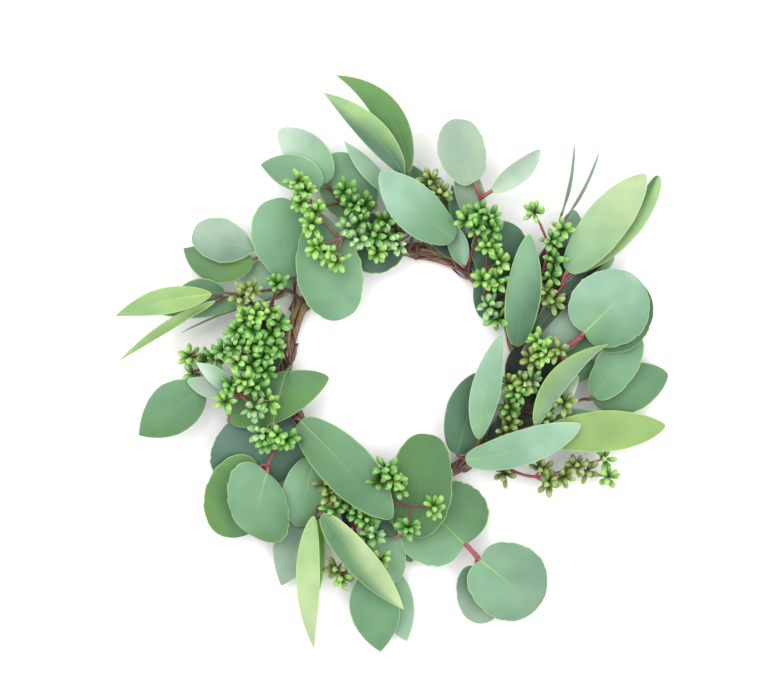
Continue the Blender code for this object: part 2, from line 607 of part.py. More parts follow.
def fuse(name, meshes, tone):
    """Join a spray's pieces into one body with a single union, and clear the pieces."""
    pieces = [new_object(f"{name}_piece", *mesh) for mesh in meshes]
    body = pieces[0]
    body.name = name
    group = bpy.data.collections.new(name)
    bpy.context.scene.collection.children.link(group)
    for piece in pieces[1:]:
        bpy.context.scene.collection.objects.unlink(piece)
        group.objects.link(piece)
    union = body.modifiers.new("union", "BOOLEAN")
    union.operation = "UNION"
    union.operand_type = "COLLECTION"
    union.collection = group
    union.solver = "EXACT"
    view = bpy.context.evaluated_depsgraph_get()
    joined = bpy.data.meshes.new_from_object(body.evaluated_get(view))
    body.modifiers.remove(union)
    body.data = joined
    joined.name = name
    for piece in pieces[1:]:
        bpy.data.objects.remove(piece, do_unlink=True)
    bpy.data.collections.remove(group)
    keep_largest(joined)
    joined.materials.clear()
    joined.materials.append(material(tone))
    return body


def keep_largest(mesh):
    """Cut a mesh into triangles and drop any loose scrap that a union leaves."""
    work = bmesh.new()
    work.from_mesh(mesh)
    bmesh.ops.triangulate(work, faces=work.faces[:])
    shells, seen = [], set()
    for first in work.faces:
        if first in seen:
            continue
        shell, queue = [], [first]
        seen.add(first)
        while queue:
            face = queue.pop()
            shell.append(face)
            for edge in face.edges:
                for other in edge.link_faces:
                    if other not in seen:
                        seen.add(other)
                        queue.append(other)
        shells.append(shell)
    shells.sort(key=len, reverse=True)
    for shell in shells[1:]:
        bmesh.ops.delete(work, geom=shell, context="FACES")
    work.to_mesh(mesh)
    work.free()


def make_spray(spray):
    """A leafy spray: its stem and every leaf on it, as one body."""
    meshes = [make_stem(spray.root, [Vector(p) for p in spray.stem])]
    for item in spray.leaves:
        meshes.append(leaf_mesh(Vector(spray.stem[item.joint]), item))
    return fuse(spray.name, meshes, spray.tone)


def make_seeds(spray):
    """A spray of bud clusters: its stem, branches and clusters, as one body."""
    meshes = [make_stem(spray.root, [Vector(p) for p in spray.stem])]
    for number, (joint, middle) in enumerate(spray.clusters):
        start = Vector(spray.stem[joint])
        meshes.append(cluster_mesh(start, middle, number))
    return fuse(spray.name, meshes, "bud")


def main():
    clear_scene()
    for index in range(TWIG_COUNT):
        make_twig(index)
    for number, degrees in enumerate(TIE_ANGLES, start=1):
        make_tie(number, degrees)
    for spray in SPRAYS:
        make_spray(spray)
    for spray in SEEDS:
        make_seeds(spray)


main()
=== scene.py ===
# %% [markdown]
# # A small wreath of artificial eucalyptus
#
# The wreath lies on a table and is seen from straight above. Brown twigs are wound into a
# ring, and sprays of moulded plastic leaves and buds are tied along it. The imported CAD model
# is loaded first, as a frame that gives every spray its place. Then each spray is made again
# as a finer surface, in the same place and of the same form.

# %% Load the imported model
import math
from collections import namedtuple

import bpy
import numpy as np
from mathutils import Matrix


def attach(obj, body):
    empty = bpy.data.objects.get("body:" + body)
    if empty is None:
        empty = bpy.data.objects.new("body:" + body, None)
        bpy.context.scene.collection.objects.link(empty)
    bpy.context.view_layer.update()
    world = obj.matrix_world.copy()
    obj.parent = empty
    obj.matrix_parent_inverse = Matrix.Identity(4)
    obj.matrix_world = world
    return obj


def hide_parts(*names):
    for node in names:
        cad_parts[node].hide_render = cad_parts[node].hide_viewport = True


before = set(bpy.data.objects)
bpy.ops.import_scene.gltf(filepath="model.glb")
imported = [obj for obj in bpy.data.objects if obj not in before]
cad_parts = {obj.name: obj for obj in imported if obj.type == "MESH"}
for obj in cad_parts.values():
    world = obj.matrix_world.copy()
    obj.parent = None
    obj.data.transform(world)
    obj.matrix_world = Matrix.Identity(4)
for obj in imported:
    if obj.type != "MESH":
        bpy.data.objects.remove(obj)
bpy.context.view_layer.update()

# %% [markdown]
# ## Measures
#
# Places are kept in millimetres from the ring's centre, at the level of the table: x to the
# right, y to the top of the picture, and the height. The model's own origin is the middle of
# its outline, so one subtraction takes a place there.

# %% Units and places
MM = 0.001
UP = np.array([0.0, 0.0, 1.0])
SIDEWAYS = np.array([1.0, 0.0, 0.0])
ORIGIN = np.array([-5.6, 1.2, 0.0])
SHORTEST = 1e-9


def from_ring_centre(points):
    """Places in the model's frame, in metres: (place - origin) * 0.001."""
    return (np.asarray(points, float) - ORIGIN) * MM


def unit(vectors):
    """Vectors of length 1, along the last axis: v / |v|."""
    return vectors / np.maximum(np.linalg.norm(vectors, axis=-1, keepdims=True), SHORTEST)


# %% [markdown]
# ## Colours by name
#
# The leaves are moulded in several greens, from a milky blue-green to a dark pine, and most of
# them shade from one green into another. Part of that change is painted light and shade: the lit
# and the shaded half of a folded blade, or the shadow that a neighbouring leaf casts. The names
# below are the greens as they look in the light. A surface that looks like that under a bright
# soft light is painted a little darker, so `paint` turns a look into linear light and takes a
# share of it.

# %% The palette
LIGHT_SHARE = 0.54
LOOKS = {
    "milk": (0.80, 0.89, 0.83), "cream": (0.80, 0.90, 0.68), "mint": (0.66, 0.82, 0.71),
    "fog": (0.66, 0.77, 0.68), "lime": (0.68, 0.84, 0.57), "moss": (0.60, 0.75, 0.43),
    "jade": (0.54, 0.73, 0.57), "leaf": (0.45, 0.65, 0.48), "fern": (0.42, 0.63, 0.33),
    "sage": (0.51, 0.65, 0.56), "slate": (0.42, 0.55, 0.50), "pine": (0.33, 0.51, 0.40),
    # "shade" is painted shade: a near-black green for leaves tucked low into the hollows.
    "deep": (0.26, 0.41, 0.31), "shade": (0.11, 0.20, 0.16), "ivy": (0.38, 0.57, 0.38),
    "grass": (0.33, 0.53, 0.29), "vivid": (0.48, 0.74, 0.28), "ash": (0.58, 0.61, 0.60),
    "bright": (0.64, 0.89, 0.42), "frost": (0.68, 0.89, 0.62), "olive": (0.60, 0.70, 0.36),
    "dark": (0.36, 0.60, 0.22), "pea": (0.46, 0.76, 0.34), "bud_tip": (0.82, 0.94, 0.64),
    # The buds' neck colour is painted shade, for the crevices between crowded buds.
    "bud_crevice_shade": (0.21, 0.39, 0.10), "rose": (0.78, 0.37, 0.45), "wine": (0.50, 0.25, 0.25),
    "copper": (0.62, 0.41, 0.38), "twig": (0.38, 0.26, 0.20), "stalk_green": (0.48, 0.60, 0.32),
}


def linear(colour):
    """An sRGB colour in linear light: ((c + 0.055) / 1.055) ** 2.4."""
    return ((np.array(colour) + 0.055) / 1.055) ** 2.4


def paint(name):
    """The linear colour of a look, times the light's share."""
    return LIGHT_SHARE * linear(LOOKS[name])


print(len(LOOKS), "named looks; mint is painted", np.round(paint("mint"), 3))

# %% [markdown]
# ## One shell for everything that grows
#
# A stem, a leaf blade and a bud are all closed skins carried along a line: ring after ring of
# points, joined by four-sided faces, with a pole at either end. So one function makes the faces
# of any such grid, and one joins many of them into a single mesh. Along with its place each
# point carries a tint, and three distances for the materials: how far it is from the middle of
# the leaf, how far along it is, and how far in from the edge. On a rod or a bud the three are
# its place on a straight rod. A last number says how strongly the midrib's line shows there.
# A piece wears a main finish, and its stems may wear a second.

# %% Rings of points into a mesh
MAIN, STEMS = 0, 1
SHARP_ANGLE = math.radians(55)
Shell = namedtuple("Shell", "rings tint place finish rib", defaults=(0.0,))


def shell_faces(rows, sides):
    """Faces of a grid of rings that closes round each ring and at a pole at either end.

    Point (i, j) has the number i * sides + j. The quad after it is (i, j), (i + 1, j),
    (i + 1, j + 1), (i, j + 1), with j counted round. The poles come after the last ring.
    """
    i = np.arange(rows - 1)[:, None] * sides
    j = np.arange(sides)[None, :]
    after = (j + 1) % sides
    quads = np.stack([i + j, i + sides + j, i + sides + after, i + after], axis=-1).reshape(-1, 4)
    first_pole, last_pole = rows * sides, rows * sides + 1
    j, after = j[0], after[0]
    last = (rows - 1) * sides
    start_fan = np.stack([np.full(sides, first_pole), j, after], axis=-1)
    end_fan = np.stack([np.full(sides, last_pole), last + after, last + j], axis=-1)
    return quads, np.concatenate([start_fan, end_fan])


def with_poles(values):
    """A grid of values as a flat list, followed by the mean of its first ring and of its last."""
    width = values.shape[-1]
    return np.concatenate([values.reshape(-1, width), values[:1].mean(1), values[-1:].mean(1)])


def in_scene(name, data):
    """A new object in the scene, for a mesh, a lamp or a camera."""
    made = bpy.data.objects.new(name, data)
    bpy.context.scene.collection.objects.link(made)
    return made


def join_shells(name, shells, finishes):
    """One object from many shells, with their tints and distances, riding on the wreath."""
    points, tints, places, ribs, faces, kinds = [], [], [], [], [], []
    count = 0
    for shell in shells:
        rows, sides = shell.rings.shape[:2]
        quads, fans = shell_faces(rows, sides)
        points.append(with_poles(shell.rings))
        tints.append(with_poles(shell.tint))
        places.append(with_poles(shell.place))
        ribs.append(with_poles(np.broadcast_to(shell.rib, (rows, sides))[..., None])[:, 0])
        faces += (quads + count).tolist() + (fans + count).tolist()
        kinds.append(np.full(len(quads) + len(fans), shell.finish))
        count += rows * sides + 2
    mesh = bpy.data.meshes.new(name)
    mesh.from_pydata(from_ring_centre(np.concatenate(points)), [], faces)
    colour = mesh.color_attributes.new("tint", "FLOAT_COLOR", "POINT")
    colours = np.column_stack([np.concatenate(tints), np.ones(count)])
    colour.data.foreach_set("color", colours.ravel())
    place = mesh.attributes.new("place", "FLOAT_VECTOR", "POINT")
    place.data.foreach_set("vector", np.concatenate(places).ravel())
    rib = mesh.attributes.new("rib", "FLOAT", "POINT")
    rib.data.foreach_set("value", np.concatenate(ribs))
    for finish in finishes:
        mesh.materials.append(finish)
    mesh.polygons.foreach_set("material_index", np.concatenate(kinds).astype(np.int32))
    mesh.polygons.foreach_set("use_smooth", np.ones(len(mesh.polygons), bool))
    mesh.set_sharp_from_angle(angle=SHARP_ANGLE)
    mesh.update()
    made = in_scene(name, mesh)
    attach(made, "root")
    return made


# %% [markdown]
# ## Smooth lines
#
# A stem bends evenly through a few given points. Between two points the curve is a
# Hermite curve: it leaves and arrives along a slope, and the slope at a point is half the step
# from the point before it to the point after it. A stalk needs only a quadratic curve, from
# the stem to the leaf, drawn towards one point between. A rod is a round skin along such a line.

# %% Curves and rods
STEEP = 0.96


def bend_through(points, first_heading, steps):
    """A smooth curve through points, with a number of steps between each two of them.

    place(t) = (2t^3 - 3t^2 + 1) p0 + (t^3 - 2t^2 + t) m0 + (3t^2 - 2t^3) p1 + (t^3 - t^2) m1
    """
    points = np.asarray(points, float)
    first_gap = np.linalg.norm(points[1] - points[0])
    inner = (points[2:] - points[:-2]) / 2.0
    slopes = np.vstack([first_heading * first_gap, inner, points[-1] - points[-2]])
    t = (np.arange(steps) / steps)[None, :, None]
    p0, p1 = points[:-1, None], points[1:, None]
    m0, m1 = slopes[:-1, None], slopes[1:, None]
    curve = ((2 * t**3 - 3 * t**2 + 1) * p0 + (t**3 - 2 * t**2 + t) * m0
             + (3 * t**2 - 2 * t**3) * p1 + (t**3 - t**2) * m1)
    return np.vstack([curve.reshape(-1, 3), points[-1]])


def drawn_curve(a, b, c, t):
    """Places (1-t)^2 a + 2t(1-t) b + t^2 c and their unit directions, for an array of t."""
    t = np.asarray(t, float)[:, None]
    places = (1 - t) ** 2 * a + 2 * t * (1 - t) * b + t**2 * c
    return places, unit(2 * (1 - t) * (b - a) + 2 * t * (c - b))


def frames_along(path):
    """Unit directions across and upward at each point of a path.

    Ahead is the gradient of the path. Across is ahead x up, or ahead x (1, 0, 0) on a path that
    stands nearly upright somewhere, and upward is across x ahead.
    """
    ahead = unit(np.gradient(path, axis=0))
    upright = np.abs(ahead[:, 2]).max() > STEEP
    across = unit(np.cross(ahead, SIDEWAYS if upright else UP))
    return across, np.cross(across, ahead)


def round_angles(sides):
    """Angles that go evenly round once: 2 pi n / sides."""
    return 2.0 * math.pi * np.arange(sides) / sides


def round_rings(path, radii, across, upward):
    """Rings of points round a path: path + radius * (cos(angle) across + sin(angle) upward)."""
    angle = round_angles(radii.shape[1])[None, :, None]
    circle = np.cos(angle) * across[:, None] + np.sin(angle) * upward[:, None]
    return path[:, None] + radii[..., None] * circle


def rod_place(radius, sides, along):
    """Where a rod's points are on a straight rod: (radius cos(angle), radius sin(angle), along)."""
    angle = round_angles(sides)
    circle = radius * np.stack([np.cos(angle), np.sin(angle)], axis=-1)
    circle = np.broadcast_to(circle, (len(along), sides, 2))
    along = np.broadcast_to(along[:, None, None], (len(along), sides, 1))
    return np.concatenate([circle, along], axis=-1)


def rod(path, radii, sides, tint, finish):
    """A round rod along a path, with its own radius and tint at each point."""
    radii = np.broadcast_to(np.asarray(radii, float).reshape(len(path), -1), (len(path), sides))
    rings = round_rings(path, radii, *frames_along(path))
    along = np.concatenate([[0.0], np.cumsum(np.linalg.norm(np.diff(path, axis=0), axis=1))])
    tint = np.broadcast_to(np.asarray(tint, float).reshape(-1, 1, 3), rings.shape)
    return Shell(rings, tint, rod_place(radii.mean(), sides, along), finish)


def blend(first, second, share):
    """Colours from the first to the second, for an array of shares from 0 to 1."""
    share = np.asarray(share, float)[..., None]
    return first * (1.0 - share) + second * share


# %% [markdown]
# ## The ring of twigs
#
# Three brown twigs are wound round one another four times on their way round the ring. Each
# follows its own place in the winding, as the CAD twigs do, so that the sprays' stems still lie
# on them. A real twig isn't even: it swells and thins, it has knots, and its bark is split into
# lengthwise strips. The swelling and the knots are added to the radius. The strips are in the
# bark's finish.

# %% The winding
RING_RADIUS = 70.0
RING_HEIGHT = 3.3
WINDING_RADIUS = 2.45
WINDING_TURNS = 4
TWIG_COUNT = 3
TWIG_RADIUS = 1.85
TIE_ANGLES = (82.5, 142.5, 202.5, 262.5, 292.5, 322.5, 352.5)
TIE_LIFT = 0.85
TIE_REACH = 5.5
TWIG_STATIONS = 480
TWIG_SIDES = 14


def around_ring(degrees, side, distance):
    """Places at a distance from the twigs' common middle, side 0 being outwards.

    The middle runs round the ring at its own height, and rises a little at each wire tie:
    lift = sum over ties of 0.85 * exp(-(angle apart / 5.5) ** 2), in millimetres.
    """
    degrees, side = np.asarray(degrees, float), np.radians(side)
    apart = (degrees[..., None] - np.array(TIE_ANGLES) + 180.0) % 360.0 - 180.0
    lift = TIE_LIFT * np.exp(-((apart / TIE_REACH) ** 2)).sum(-1)
    radius = RING_RADIUS + distance * np.cos(side)
    turn = np.radians(degrees)
    height = RING_HEIGHT + lift + distance * np.sin(side)
    return np.stack([radius * np.cos(turn), radius * np.sin(turn), height], axis=-1)


def closed_rod(path, radii):
    """A twig whose path runs once round the ring: its last ring of points meets the first.

    The section stands square to the ring, cos(angle) outwards + sin(angle) up, and what would
    reach below the table is flat.
    """
    outward = unit(path * np.array([1.0, 1.0, 0.0]))
    rings = round_rings(path, radii, outward, np.broadcast_to(UP, path.shape))
    rings[..., 2] = np.maximum(rings[..., 2], 0.0)
    along = np.linspace(0.0, 2.0 * math.pi * RING_RADIUS, len(path))
    tint = np.broadcast_to(paint("twig"), rings.shape)
    return Shell(rings, tint, rod_place(radii.mean(), TWIG_SIDES, along), MAIN)


# %% [markdown]
# ## The bark
#
# The bark is a warm grey-brown that is split along the twig. Its colour comes from noise that
# is stretched along the twig, read from the distances kept at each point: around the twig a
# strip is under a millimetre wide, and along it it runs for ten or more. The same noise lifts
# the strips in a bump, and two broader noises add tan patches and pale patches on the raised
# strips, which are a painted highlight. Every finish here is a Principled shader with a few nodes
# in front of it, so one small class adds them.

# %% The bark's finish
class Finish:
    """A material with a Principled shader, and short ways to put nodes in front of it."""

    def __init__(self, name, roughness):
        self.material = bpy.data.materials.new(name)
        self.material.use_nodes = True
        self.tree = self.material.node_tree
        self.shader = self.tree.nodes["Principled BSDF"].inputs
        self.fill(self.shader["Roughness"], roughness)

    def fill(self, socket, value):
        """Link a socket to another one, or give it a value of its own."""
        if isinstance(value, bpy.types.NodeSocket):
            self.tree.links.new(value, socket)
        else:
            socket.default_value = value

    def add(self, kind, inputs=None, **settings):
        """A shader node of a kind, with its settings and its inputs."""
        node = self.tree.nodes.new("ShaderNode" + kind)
        for name, value in settings.items():
            setattr(node, name, value)
        for name, value in (inputs or {}).items():
            self.fill(node.inputs[name], value)
        return node

    def kept(self, name, output="Vector"):
        """What the points of the mesh keep under a name."""
        return self.add("Attribute", attribute_name=name).outputs[output]

    def stretched(self, around, along):
        """The kept place, with its two measures around and its one along each multiplied."""
        inputs = {"Vector": self.kept("place"), "Scale": (around, around, along)}
        return self.add("Mapping", inputs).outputs[0]

    def noise(self, scale, detail=3.0, distortion=0.0, vector=None):
        """The grey value of a noise, about 0.5 in the middle, on Object coordinates or others."""
        if vector is None:
            vector = self.add("TexCoord").outputs["Object"]
        inputs = {"Vector": vector, "Scale": scale, "Detail": detail, "Distortion": distortion}
        return self.add("TexNoise", inputs).outputs["Fac"]

    def math(self, operation, *values):
        """The output of a Math node."""
        return self.add("Math", dict(enumerate(values)), operation=operation).outputs[0]

    def step(self, value, low, high, to_low=0.0, to_high=1.0):
        """A smooth step of a value from one range to another."""
        inputs = {"Value": value, "From Min": low, "From Max": high, "To Min": to_low, "To Max": to_high}
        return self.add("MapRange", inputs, interpolation_type="SMOOTHSTEP").outputs["Result"]

    def mix(self, share, first, second, blend_type="MIX"):
        """The colour between a first and a second, each a socket or three numbers."""
        node = self.add("Mix", data_type="RGBA", blend_type=blend_type)
        self.fill(node.inputs[0], share)
        for index, value in ((6, first), (7, second)):
            linked = isinstance(value, bpy.types.NodeSocket)
            self.fill(node.inputs[index], value if linked else (*value, 1.0))
        return node.outputs[2]

    def tinted(self, share, darker, lighter):
        """The points' own tint, times a colour between a darker and a lighter one."""
        return self.mix(1.0, self.kept("tint", "Color"), self.mix(share, darker, lighter), "MULTIPLY")

    def done(self, colour, strength, distance, height):
        """The material, with its colour and a bump from a height linked to the shader."""
        self.fill(self.shader["Base Color"], colour)
        bump = self.add("Bump", {"Strength": strength, "Distance": distance, "Height": height})
        self.fill(self.shader["Normal"], bump.outputs["Normal"])
        return self.material


def bark_finish():
    """Split bark: strips of taupe and tan between dark red-brown hollows."""
    bark = Finish("bark_split", 0.85)
    strips = bark.noise(1.0, 4.0, 0.4, bark.stretched(1.5, 0.10))
    hollow, taupe = linear((0.27, 0.13, 0.11)), linear((0.58, 0.48, 0.40))
    brown = bark.mix(bark.step(strips, 0.40, 0.58), hollow, taupe)
    tan = bark.mix(bark.step(bark.noise(70.0), 0.50, 0.66), brown, linear((0.50, 0.42, 0.28)))
    # Painted highlight: pale on the raised strips, in sparse patches.
    pale_highlight = bark.step(bark.noise(160.0, 2.0), 0.56, 0.70)
    pale_highlight = bark.math("MULTIPLY", pale_highlight, bark.step(strips, 0.5, 0.6))
    return bark.done(bark.mix(pale_highlight, tan, linear((0.74, 0.69, 0.60))), 0.9, 0.0006, strips)


BARK = bark_finish()

# %% [markdown]
# ## Twigs and loose strands
#
# Each twig replaces one CAD twig. Thin strands of split bark are wound over them, each with its
# own number of turns. Their cut ends stand a little away from the twigs.

# %% Twigs and strands
def twig_radii(index, degrees):
    """Radius by station and side: 1.85 * (1 + slow swelling + knots + a slight five-sided shape)."""
    turn = np.radians(degrees)[:, None]
    side = round_angles(TWIG_SIDES)[None, :]
    swelling = 0.05 * np.sin(11 * turn + 2.0 * index) + 0.03 * np.sin(29 * turn + index)
    knots = 0.10 * np.maximum(0.0, np.sin(7 * turn + 1.3 * index)) ** 12
    facets = 0.05 * np.sin(5 * side + 3 * turn + index)
    return TWIG_RADIUS * (1.0 + swelling + knots + facets)


ring_degrees = np.arange(TWIG_STATIONS + 1) * 360.0 / TWIG_STATIONS
for index in range(TWIG_COUNT):
    side = WINDING_TURNS * ring_degrees + 360.0 * index / TWIG_COUNT
    path = around_ring(ring_degrees, side, WINDING_RADIUS)
    shell = closed_rod(path, twig_radii(index, ring_degrees))
    twig = join_shells(f"ring_twig_{index + 1}_bark", [shell], [BARK])
    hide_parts(f"ring_twig_{index + 1}")

Strand = namedtuple("Strand", "start end first_side turns distance radius")
STRANDS = [
    Strand(20, 140, 60, 2.6, 4.2, 0.55), Strand(50, 200, 118, 3.43, 4.3, 0.50),
    Strand(150, 215, 10, 1.4, 4.5, 0.60), Strand(210, 350, 120, 3.0, 4.2, 0.50),
    Strand(300, 400, 330, 2.2, 4.3, 0.50), Strand(168, 192, 150, 0.5, 5.0, 0.70),
    Strand(68, 100, 250, 0.7, 4.7, 0.60),
]
STRAND_STEPS = 90
STRAND_SIDES = 6


def strand(item):
    """A thin strand over the twigs: side = first side + 360 * turns * t, lifted at its ends."""
    t = np.linspace(0.0, 1.0, STRAND_STEPS)
    degrees = item.start + (item.end - item.start) * t
    lift = 1.2 * np.exp(-((t / 0.05) ** 2)) + 1.6 * np.exp(-(((1 - t) / 0.04) ** 2))
    path = around_ring(degrees, item.first_side + 360.0 * item.turns * t, item.distance + lift)
    path[:, 2] = np.maximum(path[:, 2], item.radius + 0.1)
    radii = item.radius * (1.0 + 0.2 * np.sin(40 * t)) * np.minimum(1.0, 0.5 + 20 * (1 - t))
    return rod(path, radii, STRAND_SIDES, paint("twig"), MAIN)


strands = join_shells("ring_strands", [strand(item) for item in STRANDS], [BARK])
print("ring:", TWIG_COUNT, "twigs and", len(STRANDS), "strands")

# %% [markdown]
# ## The wire ties
#
# Florist's wire is wound a few times round the twigs and the stems that lie on them. Each tie
# is one wire: a path that goes round the bunch four times while it creeps along the ring. It is
# crowned above, where a stem lies on the twigs, and flat below, where the wreath rests.

# %% Ties
TIE_RADIUS = 5.1
TIE_CROWN = 2.7
TIE_WIDTH = 2.2
TIE_WINDS = 4
TIE_STEPS = 24
TIE_CLEARANCE = 0.3
WIRE_RADIUS = 0.32
WIRE_SIDES = 8


def wire_finish():
    """Brown paper-covered wire: matt, with a fine twist and rubbed places."""
    wire = Finish("wire_brown", 0.6)
    inputs = {"Vector": wire.kept("place"), "Scale": 1.2, "Distortion": 0.5}
    twist = wire.add("TexWave", inputs, bands_direction="DIAGONAL").outputs["Fac"]
    brown = wire.mix(twist, linear((0.26, 0.17, 0.12)), linear((0.36, 0.25, 0.18)))
    rubbed = wire.step(wire.noise(300.0), 0.55, 0.7)
    return wire.done(wire.mix(rubbed, brown, linear((0.46, 0.36, 0.28))), 0.4, 0.0001, twist)


WIRE = wire_finish()
for number, degrees in enumerate(TIE_ANGLES, start=1):
    t = np.linspace(0.0, 1.0, TIE_STEPS * TIE_WINDS + 1)
    side = 360.0 * TIE_WINDS * t - 90.0
    crown = TIE_CROWN * np.maximum(0.0, np.sin(np.radians(side))) ** 2
    creep = np.degrees((t - 0.5) * (TIE_WIDTH - 2 * WIRE_RADIUS) / RING_RADIUS)
    path = around_ring(degrees + creep, side, TIE_RADIUS + crown)
    path[:, 2] = np.maximum(path[:, 2], TIE_CLEARANCE + WIRE_RADIUS)
    wound = rod(path, np.full(len(t), WIRE_RADIUS), WIRE_SIDES, paint("twig"), MAIN)
    tie = join_shells(f"wire_tie_{number}_wound", [wound], [WIRE])
    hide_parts(f"wire_tie_{number}")
print("ties:", len(TIE_ANGLES))

# %% [markdown]
# ## The leaf blade
#
# A eucalyptus leaf's half width follows the sine of its way from base to tip: a power inside
# the sine moves the widest place, and a power outside it makes the ends blunt or pointed. The
# blade is folded a little along its midrib, curls at its sides and waves along its margins. It
# is a thin closed shell, thickest at the midrib, so it looks right from below too.

# %% The forms of leaf
Form = namedtuple("Form", "swell base_point tip_point wave scallop curl notch")
ROUND = Form(0.96, 0.44, 0.44, 0.030, 0.017, 0.05, 0.32)
OVAL = Form(0.90, 0.50, 0.62, 0.024, 0.010, 0.07, 0.08)
BLUNT = Form(0.98, 0.42, 0.36, 0.032, 0.024, 0.05, 0.12)
HEAVY = Form(1.20, 0.56, 0.38, 0.030, 0.022, 0.05, 0.10)
POINTED = Form(0.86, 0.54, 0.86, 0.022, 0.006, 0.07, 0.0)
LONG = Form(0.84, 0.72, 0.92, 0.020, 0.004, 0.10, 0.0)
WAVES = 1.6
IRREGULAR = 0.045
SOFT_FOLD = 0.03
BLADE_ROWS = 44
ACROSS = np.array([1.0, 0.975, 0.88, 0.70, 0.48, 0.26, 0.10, 0.035])
ACROSS = np.concatenate([ACROSS, [0.0], -ACROSS[::-1]])
EDGE_THICKNESS = 0.22
MIDDLE_THICKNESS = 0.55
RIDGE_WIDTH = 0.5
RIDGE_HEIGHT = 0.35
BELOW_SHADE = 0.9
TIP_HALF = 0.25
RIB_LINE = 0.12
LEAF_FIELDS = "joint base tip width form fold lean bow arch look rib skew"
Leaf = namedtuple("Leaf", LEAF_FIELDS, defaults=(RIB_LINE, 0.0))


def half_width(form, width, t):
    """Half the blade's width: width / 2 * sin(pi * t ** swell) ** point.

    The outer power goes evenly from base_point at the base to tip_point at the tip.
    """
    point = form.base_point + (form.tip_point - form.base_point) * t
    sine = np.sin(math.pi * np.minimum(t, 1.0) ** form.swell)
    return np.maximum(width / 2.0 * np.maximum(sine, 0.0) ** point, TIP_HALF)


def leaf_colours_and_painted_shade(look, s, t):
    """The first green, shading into the second along (across, along) of the look. The two greens
    are partly the leaf's own and partly painted light and shade: a lit and a shaded half of a
    folded blade, or the shadow of a neighbouring leaf.

    share = smoothstep of 0.5 + (across * s + along * (2t - 1)) / 2
    """
    first, second, across, along = look
    share = np.clip(0.5 + 0.5 * (across * s + along * (2.0 * t - 1.0)), 0.0, 1.0)
    return blend(paint(first), paint(second), share * share * (3.0 - 2.0 * share))


def midrib(item):
    """The points that draw a leaf's midrib: its base, the point it is drawn towards, its tip.

    The midrib's middle lies its bow to the right of the straight line and its arch above it,
    and the point between stands twice as far away.
    """
    base, tip = np.array(item.base, float), np.array(item.tip, float)
    right = unit(np.cross(tip - base, UP))
    return base, (base + tip) / 2.0 + 2.0 * (item.bow * right + item.arch * UP), tip


def blade(item):
    """A leaf's blade as a closed shell, with its tints and its distances.

    place = curve(t) + out * across + (half * rise + wave) * upward + shift * ahead
    out = half * s * cos(fold) * (1 + ripple), where the ripple is three sines along the margin
    rise = sin(fold) * soft |s| - curl * s^2, where soft |s| = sqrt(s^2 + 0.03) - sqrt(0.03)
    wave = form's wave * width * |s| * sin(pi t) * sin(2 pi 1.6 t + start + 1.3 s)
    shift = skew * half * s - notch * half * s^2 * (1 - t)^3: the skew slides the right half
    ahead, and the notch draws the base's lobes back past the stalk
    """
    base, pull, tip = midrib(item)
    t = (1.0 - np.cos(math.pi * np.linspace(0.0, 1.0, BLADE_ROWS))) / 2.0
    places, ahead = drawn_curve(base, pull, tip, t)
    level = unit(np.cross(ahead, UP))
    above = np.cross(level, ahead)
    lean = math.radians(item.lean)
    across = math.cos(lean) * level - math.sin(lean) * above
    upward = math.cos(lean) * above + math.sin(lean) * level
    start = 0.37 * item.base[0] + 0.61 * item.base[1]
    s = ACROSS[None, :]
    t = t[:, None]
    half = half_width(item.form, item.width, t)
    side = start + np.sign(s)
    ripple = item.form.scallop * s**4 * (0.6 * np.sin(0.8 * item.width * t + 2.0 * side)
                                         + 0.5 * np.sin(1.5 * item.width * t**1.3 + 5.0 * side))
    ripple = ripple + IRREGULAR * np.sin(5.0 * t + 2.2 * side) * s**2
    fold = math.radians(item.fold) * np.minimum(1.0, 6.0 * t)
    soft = np.sqrt(s**2 + SOFT_FOLD) - math.sqrt(SOFT_FOLD)
    rise = half * (np.sin(fold) * soft - item.form.curl * s**2)
    swing = item.form.wave * item.width * np.abs(s) * np.sin(math.pi * t) * np.sin(
        2.0 * math.pi * WAVES * t + start + 1.3 * s)
    out = half * s * np.cos(fold) * (1.0 + ripple)
    shift = half * (item.skew * s - item.form.notch * s**2 * (1.0 - t) ** 3)
    middle = (places[:, None] + out[..., None] * across[:, None] + shift[..., None] * ahead[:, None]
              + (rise + swing)[..., None] * upward[:, None])
    thick = EDGE_THICKNESS + (MIDDLE_THICKNESS - EDGE_THICKNESS) * (1.0 - s**2) * np.sin(
        math.pi * np.clip(t, 0.0, 1.0)) ** 0.3
    ridge = np.exp(-((s * half / RIDGE_WIDTH) ** 2)) * (1.0 - t) * RIDGE_HEIGHT
    top = middle + (thick / 2.0 - 0.35 * ridge)[..., None] * upward[:, None]
    below = middle - (thick / 2.0 + ridge)[..., None] * upward[:, None]
    # Two greens across and along the blade, partly the leaf's own and partly painted light and shade.
    colours = leaf_colours_and_painted_shade(item.look, s, t)
    from_edge = half * (1.0 - np.abs(s))
    length = np.linalg.norm(tip - base)
    distances = np.stack([s * half, t * length + 0.0 * s, from_edge], axis=-1)
    rings = np.concatenate([top, below[:, ::-1]], axis=1)
    tint = np.concatenate([colours, colours[:, ::-1] * BELOW_SHADE], axis=1)
    place = np.concatenate([distances, distances[:, ::-1]], axis=1)
    return Shell(rings, tint, place, MAIN, item.rib * np.clip(1.0 - 1.5 * t, 0.0, 1.0))


# %% [markdown]
# ## Stalks and stems
#
# A leaf's stalk leaves the stem, bends, and runs on under the blade as the start of its midrib.
# It is wine red or rose where it leaves the stem and turns to yellow-green under the blade. The
# stem lies on a twig at its root and rises through its points. It is brown and thick there, and
# thin at its end.

